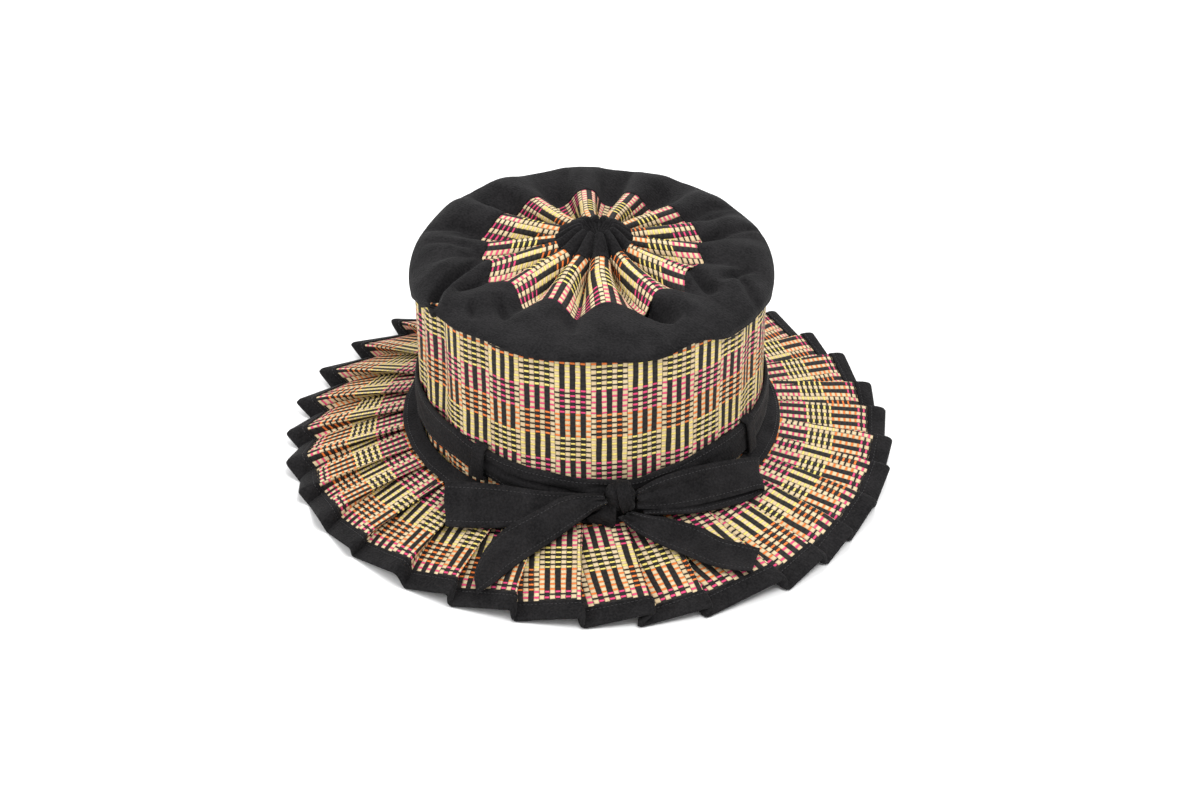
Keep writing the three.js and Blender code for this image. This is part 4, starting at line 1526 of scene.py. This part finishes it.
@dataclass
class Tie:
    """Black ribbon round the crown, crumpled lengthwise where the knot draws it in."""

    inner: float = 95.4
    thickness: float = 1.7
    bulge: float = 0.8
    lap: float = 1.5
    # Bearing, and the part of the width where the upper layer's edge lies
    fold: tuple = ((-38, 0.8), (-34, 0.74), (-26, 0.64), (-16, 0.62), (-7, 0.57), (5, 0.46), (10, 0.45))
    # Bearings between which the lap comes and goes
    lap_comes: tuple = (-38, -34)
    lap_goes: tuple = (4, 9)
    # Parts of the width in which the lap sets in, and over which it eases off again
    lap_edge: float = 0.05
    lap_spread: float = 0.16
    # Bearing of the knot, how far round it draws the ribbon in, and how deep the furrows are there
    knot_at: float = 15.0
    knot_spread: float = 62.0
    furrow: float = 0.5
    edge_round: float = 0.5
    seam_parts: tuple = (0.12, 0.88)
    seam_points: int = 900
    across: int = 44
    columns: int = 480

    def furrows(self, bearing: Array, part: Array) -> Array:
        """Lengthwise furrows that wander, shallower away from the knot."""
        angle = np.radians(bearing)
        drawn = 0.35 + 0.65 * bell(signed(bearing - self.knot_at), self.knot_spread)
        sway = 0.55 * np.sin(3 * angle + 0.7) + 0.3 * np.sin(7 * angle)
        wide = np.sin(2 * np.pi * (1.7 * part + sway))
        narrow = np.sin(2 * np.pi * (3.1 * part - sway + 0.2 * np.sin(5 * angle)))
        return self.furrow * drawn * (wide + 0.5 * narrow)

    def lapped(self, bearing: Array, part: Array) -> Array:
        """How far the lower part lies behind the upper one, left of the knot."""
        away = signed(bearing)
        edge = np.interp(away, *np.array(self.fold).T)
        there = smooth(away, *self.lap_comes) * (1 - smooth(away, *self.lap_goes))
        below = edge - part
        under = smooth(below, 0.0, self.lap_edge) * (0.45 + 0.55 * bell(below, self.lap_spread))
        return self.lap * there * under

    def outer(self, bearing: Array, part: Array) -> Array:
        """Outer face of the ribbon.

        Args:
            bearing: degrees.
            part: 0 at the lower edge and 1 at the upper edge.

        Returns:
            Points whose distance from the axis is the ribbon's, swollen
            between its edges, with its furrows less its lap.
        """
        low, high = round_table(TIE, bearing), round_table(TIE, bearing, 2)
        swell = np.sin(np.pi * part)
        relief = (self.furrows(bearing, part) - self.lapped(bearing, part)) * swell**0.6
        radius = self.inner + self.thickness + self.bulge * swell + relief
        return polar(bearing, radius, low + (high - low) * part)

    def make(self, cotton: Material) -> Object:
        """Builds the ribbon as a closed section that goes round the crown."""
        bearing = shares(self.columns) * 360
        part = np.linspace(0, 1, self.across)[:, None]
        face = self.outer(bearing, part)
        rounding = self.edge_round * np.abs(2 * part - 1)[..., None] ** 12
        face = face - unit(face * [1, 1, 0]) * rounding
        back = polar(bearing, self.inner, face[::-1, :, 2])
        piece = Surface(np.concatenate([face, back]), None, wrap_rows=True).build("tie_ribbon", cotton)
        return settle(piece, Slot.COTTON, "tie_band")

    def seams(self) -> list[tuple[Array, Array]]:
        """Lines of stitches inside both edges, with their normals."""
        bearing = np.linspace(0, 360, self.seam_points)
        lines = (self.outer(bearing, np.array(part)) for part in self.seam_parts)
        return [(points, unit(points * [1, 1, 0])) for points in lines]


@dataclass(frozen=True)
class BeltLoop:
    """Narrow strap sewn to the crown below and above the tie."""

    node: str
    bearing: float
    lean: float = 0.0
    width: float = 8.0
    thickness: float = 1.9
    clearance: float = 0.5
    # Distances from the axis of its ends, of its feet, and of its inner face over the tie
    end: float = 95.2
    foot: float = 96.6
    over: float = 98.4
    # Powers that round the section's width and its thickness
    width_round: float = 0.5
    thickness_round: float = 0.8
    groove: float = 0.25
    groove_at: float = 0.6
    groove_spread: float = 0.8
    sides: int = 24
    columns: int = 46

    def make(self, cotton: Material) -> Object:
        """Builds the strap: a rounded section swept along a line out over the tie and back.

        The section's corners are rounded by a superellipse, a shallow groove
        runs down the middle of its outer face, and the strap leans sideways by
        its lean from its foot to its top.
        """
        at = np.array([self.bearing])
        beyond = self.clearance + self.thickness / 2
        low, high = round_table(TIE, at)[0] - beyond, round_table(TIE, at, 2)[0] + beyond
        out = self.over + self.thickness / 2
        middle = (low + high) / 2
        line = through(np.array([
            (self.end, low - 0.6), (self.foot, low - 0.1), (out - 0.7, low + 0.5), (out, low + 2.4),
            (out + 0.25, middle),
            (out, high - 2.4), (out - 0.7, high - 0.5), (self.foot, high + 0.1), (self.end, high + 0.6),
        ]), self.columns)
        along = np.gradient(line, axis=0)
        facing = unit(np.stack([along[:, 1], -along[:, 0]], axis=-1))
        turn = shares(self.sides) * 2 * np.pi
        wide = self.rounded(np.cos(turn), self.width_round) * self.width / 2
        deep = self.rounded(np.sin(turn), self.thickness_round) * self.thickness / 2
        deep = deep - self.groove * bell(wide - self.groove_at, self.groove_spread) * (deep > 0)
        place_at = line[None] + facing[None] * deep[:, None, None]
        angle = np.radians(self.bearing)
        outwards = np.array([np.sin(angle), -np.cos(angle), 0.0])
        sideways = np.array([np.cos(angle), np.sin(angle), 0.0])
        points = place_at[..., :1] * outwards + place_at[..., 1:] * np.array([0.0, 0.0, 1.0])
        slant = self.lean * (line[:, 1:] - middle) / (high - low)
        points = points + (wide[:, None, None] + slant) * sideways
        tube = Surface(points, None, wrap_rows=True, wrap_columns=False)
        piece = tube.build(self.node + "_strap", cotton)
        return settle(piece, Slot.COTTON, self.node)

    @staticmethod
    def rounded(value: Array, power: float) -> Array:
        """The value's size raised to a power, with its sign kept."""
        return np.sign(value) * np.abs(value) ** power


@dataclass(frozen=True)
class Ribbon:
    """A hemmed ribbon of the bow through rows of its lower and upper edge."""

    node: str
    rows: tuple
    flat: tuple
    rests_on: tuple
    held: Held = Held.LAID
    thickness: float = 1.1
    cup: float = 0.8
    gather: float = 1.0
    gathered_ends: tuple = (True, False)
    in_place: bool = True
    # Share of the length over which the gathers fade
    gather_fade: float = 0.2
    # The width, how far from the edge the hem ends and how far the edge is rounded
    width: float = 16.0
    hem_ends: tuple = (2.2, 3.4)
    edge_ends: tuple = (-0.35, 0.8)
    # Share of the thickness between the hems, and how much more over them
    plain: float = 0.72
    fuller: float = 0.32
    seam_parts: tuple = (0.13, 0.87)
    seam_probe: float = 0.02
    seam_lift: float = 0.42
    sections: int = 150
    across: int = 21

    def middle(self, part: Array) -> tuple[Array, Array]:
        """The ribbon's middle surface.

        Args:
            part: 0 at the lower edge and 1 at the upper, one per row.

        Returns:
            Points and normals, rows by sections. Between the edges the cloth
            is cupped as a parabola, with creases that fade away from the knot.
        """
        low, high = (through(np.array(edge), self.sections) for edge in zip(*self.rows))
        along = np.linspace(0, 1, self.sections)
        w = part[:, None]
        flat = low * (1 - w[..., None]) + high * w[..., None]
        facing = -normals(flat, False)
        first, last = self.gathered_ends
        pull = first * np.exp(-along / self.gather_fade) + last * np.exp(-(1 - along) / self.gather_fade)
        inside = 4 * w * (1 - w)
        wide = np.sin(2 * np.pi * (1.9 * w + 0.35 * np.sin(3 * along)))
        narrow = np.sin(2 * np.pi * (3.3 * w + 0.2))
        slow = 0.45 * np.sin(9 * along + 2.5 * w) + 0.25 * np.sin(8 * w + 3 * along)
        quick = 0.4 * np.sin(21 * along - 5 * w)
        cupped = self.cup * (inside - 0.6) * (1 - pull)
        gathered = self.gather * pull * (wide + 0.6 * narrow) * inside**0.5
        return flat + facing * (cupped + gathered + (slow + quick) * inside)[..., None], facing

    def make(self, cotton: Material) -> Object:
        """Builds the ribbon: both faces at half its thickness, fuller over the hems."""
        part = (1 - np.cos(np.linspace(0, np.pi, self.across))) / 2
        points, facing = self.middle(part)
        inset = np.minimum(part, 1 - part)[:, None, None] * self.width
        hem = 1 - smooth(inset, *self.hem_ends)
        half = self.thickness / 2 * (self.plain + self.fuller * hem) * np.sqrt(smooth(inset, *self.edge_ends))
        section = np.concatenate([points + facing * half, (points - facing * half)[::-1]])
        tube = Surface(section, None, wrap_rows=True, wrap_columns=False)
        piece = tube.build(self.node + "_ribbon", cotton)
        return settle(piece, Slot.COTTON, *([self.node] if self.in_place else []))

    def seams(self) -> list[tuple[Array, Array]]:
        """Lines of stitches along both hems, on both faces, with their normals."""
        lines = []
        for at in self.seam_parts:
            points, facing = self.middle(np.array([at - self.seam_probe, at, at + self.seam_probe]))
            for up in (facing[1], -facing[1]):
                lines.append((points[1] + up * self.thickness * self.seam_lift, up))
        return lines


@dataclass
class Knot:
    """The bow's knot: a folded band of ribbon drawn tight round the gathered ends."""

    centre: tuple = (15.2, -103.8, 36.8)
    half: tuple = (8.0, 6.0, 9.0)
    barrel_round: float = 0.72
    # The band's place along X, its lean and half its width, as shares of the knot's half
    band_at: float = 0.36
    band_lean: float = 0.22
    band_half: float = 0.50
    band_edge: float = 0.10
    band_height: float = 0.07
    # The puff's place along X and round it, in radians, with its spread, and its height
    puff_at: tuple = (-0.62, 0.36 * np.pi)
    puff_spread: tuple = (0.36, 0.75)
    puff_height: float = 0.24
    furrow_height: float = 0.09
    furrow_base: float = 0.15
    # Depth of the pinch along the band's two sides, its distance from the band's
    # middle and its spread
    pinch: float = 0.10
    pinch_at: float = 0.54
    pinch_spread: float = 0.07
    end_hole: float = 0.03
    rows: int = 84
    columns: int = 132

    def puff(self, x: Array, turn: Array) -> Array:
        """The swelling beside the band, at the knot's top."""
        along = bell(x - self.puff_at[0], self.puff_spread[0])
        away = np.mod(turn - self.puff_at[1] + np.pi, 2 * np.pi) - np.pi
        return self.puff_height * along * bell(away, self.puff_spread[1])

    def make(self, cotton: Material) -> Object:
        """Builds the knot.

        A barrel about X is raised under an upright band by a smooth step. The
        band has creases along it, beside it a puff swells at the top, and
        elsewhere furrows run towards the knot's ends.
        """
        polar_angle = np.linspace(self.end_hole, np.pi - self.end_hole, self.rows)[:, None]
        turn = shares(self.columns) * 2 * np.pi
        x = -np.cos(polar_angle) + 0 * turn
        girth = np.sin(polar_angle) ** self.barrel_round
        y, z = -girth * np.cos(turn), girth * np.sin(turn)
        across = x - self.band_at + self.band_lean * z
        band = smooth(self.band_half - np.abs(across), 0.0, self.band_edge)
        creases = 0.03 * np.sin(across * 12 + 0.9 * np.sin(2 * turn)) + 0.018 * np.sin(across * 27 + turn)
        furrows = np.abs(np.sin(3.5 * turn + 1.4 * np.sin(turn) + 2 * x)) ** 0.7
        beside = self.furrow_height * furrows - self.furrow_base + self.puff(x, turn)
        pinch = self.pinch * bell(np.abs(across) - self.pinch_at, self.pinch_spread)
        scale = 1 + band * (self.band_height + creases) + (1 - band) * beside - pinch
        points = np.stack([x * scale, y * scale, z * scale], axis=-1) * self.half + self.centre
        piece = Surface(points, None).build("bow_knot_wrap", cotton)
        return settle(piece, Slot.COTTON, "bow_knot")


LEFT_LOOP = (
    ((6.8, -105.4, 30.6), (6.8, -103.6, 38.8)), ((-10, -107.5, 26), (-9, -102.8, 38.2)),
    ((-27, -108.6, 23.4), (-27, -99.8, 37.6)), ((-45, -110, 21.4), (-45, -93.8, 36.6)),
    ((-61, -109, 20.4), (-61, -90, 35.6)), ((-72.6, -107.2, 19.7), (-73, -87.4, 34.4)),
    ((-75.8, -105.4, 18.7), (-76.4, -85.6, 33)), ((-72.6, -103.6, 18.1), (-73, -83.8, 31.6)),
    ((-60, -104.4, 18.7), (-60, -86, 32.4)), ((-44, -104.8, 20), (-44, -90.2, 33.6)),
    ((-27, -103.2, 24.6), (-27, -96, 34.8)), ((-10, -103.2, 27.6), (-10, -99.9, 35.2)),
    ((3.4, -102.4, 29.4), (3.6, -100.8, 35)),
)
RIGHT_LOOP = (
    ((23.7, -105.4, 30.2), (23.7, -102.8, 40.2)), ((38, -100.6, 26.4), (36, -95.4, 43)),
    ((56, -95.4, 25.4), (53.6, -86.6, 43.2)), ((76, -86, 24.2), (72, -75, 39)),
    ((88, -79, 22.8), (84.4, -66.4, 34.6)), ((91, -77, 20.8), (88.4, -63.4, 31.6)),
    ((89.4, -78.6, 19.3), (87.6, -63.8, 28.6)), ((78, -87, 19.6), (78, -66.6, 28.6)),
    ((58, -97, 21.4), (56, -84.2, 30)), ((40, -102.6, 24), (38, -94.6, 32)),
    ((27.2, -105, 25.8), (27, -101, 31.6)),
)
LEFT_TAIL = (
    ((8.6, -110, 37.4), (6.4, -108.4, 40.8)), ((3.6, -110.6, 34.4), (-3.1, -106.8, 40.2)),
    ((-5.7, -112.4, 27), (-14.8, -106.4, 38.2)), ((-19.7, -119.4, 19.8), (-25.8, -107.2, 32)),
    ((-33.3, -129.9, 17.1), (-40.8, -111.6, 25)), ((-41.6, -137.6, 15.4), (-47.9, -114.4, 20.8)),
    ((-49, -145.8, 14), (-54.6, -122.9, 17.5)), ((-53.8, -150.6, 14.1), (-58.6, -134.9, 15.4)),
    ((-57.4, -154.8, 14), (-59.4, -142.6, 14.5)),
)
RIGHT_TAIL = (
    ((13.8, -110.6, 28.4), (21.8, -109.4, 31)), ((21.4, -113.6, 22.8), (30.4, -107.6, 27.4)),
    ((32.8, -119.8, 19.2), (40, -105.6, 23.8)), ((48, -127.6, 16.8), (56.7, -108.2, 19.6)),
    ((61.6, -134.2, 15.2), (68, -115.2, 17.6)), ((73.1, -137.2, 14.6), (77.5, -117.6, 16.4)),
    ((81.6, -138, 14.8), (87, -120.4, 15.2)),
)
KNOT_FOLD = (
    ((9.4, -105.2, 34.4), (12.8, -108.4, 33.6)), ((3.6, -106.6, 29), (12.8, -109.2, 27.4)),
    ((-1.6, -106.4, 25.4), (12.6, -108.8, 23)), ((-0.8, -106.2, 22.8), (11.6, -108, 21)),
    ((3.4, -105.8, 20.9), (8.8, -106.8, 20.4)),
)
BELT_LOOPS = (
    BeltLoop("belt_loop_front_left", 323, 1.6), BeltLoop("belt_loop_front_right", 59.5, -5.0),
    BeltLoop("belt_loop_back_right", 136), BeltLoop("belt_loop_back_left", 248),
)
RIBBONS = (
    Ribbon("bow_loop_left", LEFT_LOOP, (0.016, 0.168), ("brim", "bow_knot"), Held.FOLDED,
           gathered_ends=(True, True)),
    Ribbon("bow_loop_right", RIGHT_LOOP, (0.016, 0.158), ("brim", "bow_knot"), Held.FOLDED,
           gathered_ends=(True, True)),
    Ribbon("bow_tail_left", LEFT_TAIL, (0.020, 0.090), ("brim", "bow_knot")),
    Ribbon("bow_tail_right", RIGHT_TAIL, (0.020, 0.076), ("brim", "bow_knot")),
    Ribbon("bow_knot_fold", KNOT_FOLD, (0.0115, 0.0165), ("brim", "bow_knot"), in_place=False, sections=40),
)


@dataclass
class Hat:
    """The whole hat: crown, brim, tie and bow, with the stitches that sew them."""

    straw: Material
    cotton: Material
    thread: Material

    def crown(self) -> None:
        """Side, rosette, shoulder, collar and its gathers."""
        CrownSide().make(self.straw)
        Rosette().make(self.straw)
        Shoulder().make(self.cotton)
        Collar().make(self.cotton)
        GatheredCore().make(self.cotton)

    def brim(self) -> None:
        """Pleated mat, binding, seam tape and their stitches."""
        brim, band = Brim(), SeamBand()
        brim.make_mat(self.straw)
        brim.make_binding(self.cotton)
        band.make(self.cotton)
        settle(Stitching().sew("brim_stitches", [brim.seam(), band.seam()], self.thread), Slot.COTTON)

    def trim(self) -> None:
        """Tie, belt loops, bow and their stitches."""
        tie = Tie()
        tie.make(self.cotton)
        for loop in BELT_LOOPS:
            loop.make(self.cotton)
        for ribbon in RIBBONS:
            ribbon.make(self.cotton)
        Knot().make(self.cotton)
        lines = tie.seams() + [line for ribbon in RIBBONS if ribbon.in_place for line in ribbon.seams()]
        settle(Stitching().sew("trim_stitches", lines, self.thread), Slot.COTTON)


@dataclass(frozen=True)
class Studio:
    """White floor, soft lights and the camera at the photo's angle."""

    distance: float = 1.2
    elevation: float = 34.4
    target: tuple = (0.0045, 0.0, 0.026)
    lens: float = 64.44
    sensor: float = 36.0
    # Half the floor's side, in millimetres as for any other mesh
    floor_half: float = 3000.0
    daylight: float = 0.75
    # Name, place, size and power of each light
    lights: tuple = (
        ("key", (0.6, -0.95, 2.1), 0.9, 36),
        ("fill", (-1.5, -0.7, 1.3), 1.4, 17),
        ("back", (0.3, 1.5, 1.7), 1.4, 22),
    )

    def floor(self) -> None:
        """A white floor at the height of the hat's base."""
        signs = np.array([(-1, -1, 0), (1, -1, 0), (1, 1, 0), (-1, 1, 0)])
        new_piece("floor", signs * self.floor_half, [(0, 1, 2, 3)], WhitePaper().make())

    def light(self, name: str, at: tuple, size: float, watts: float) -> None:
        """A square soft light aimed at the hat."""
        data = bpy.data.lights.new(name, "AREA")
        data.size = size
        data.energy = watts
        lamp = place(bpy.data.objects.new(name, data))
        lamp.location = at
        lamp.rotation_euler = self.turned(np.array(self.target) - np.array(at))

    @staticmethod
    def turned(direction: Array) -> tuple[float, float, float]:
        """Rotation that looks along a direction with no roll."""
        level = float(np.hypot(direction[0], direction[1]))
        tilt = float(np.arctan2(level, -direction[2]))
        spin = float(np.arctan2(-direction[0], direction[1]))
        return tilt, 0.0, spin

    def camera(self) -> None:
        """The camera: its place is the target moved back along the photo's angle."""
        angle = np.radians(self.elevation)
        offset = self.distance * np.array([0.0, -np.cos(angle), np.sin(angle)])
        data = bpy.data.cameras.new("camera")
        data.lens = self.lens
        data.sensor_width = self.sensor
        camera = place(bpy.data.objects.new("camera", data))
        camera.location = tuple(np.array(self.target) + offset)
        camera.rotation_euler = self.turned(-offset)
        bpy.context.scene.camera = camera

    def make(self) -> None:
        """Sets up the world, the lights, the floor and the camera."""
        world = bpy.data.worlds.new("studio")
        world.use_nodes = True
        background = world.node_tree.nodes["Background"]
        background.inputs["Color"].default_value = (1, 1, 1, 1)
        background.inputs["Strength"].default_value = self.daylight
        bpy.context.scene.world = world
        bpy.context.scene.view_settings.view_transform = "Standard"
        self.floor()
        for row in self.lights:
            self.light(*row)
        self.camera()


def main() -> None:
    """Builds the hat's visual model and its studio."""
    logging.basicConfig(level=logging.INFO)
    hat = Hat(WovenStraw().make(), BlackCotton().make(), SewingThread().make())
    hat.crown()
    hat.brim()
    hat.trim()
    Studio().make()


if __name__ == "__main__":
    main()
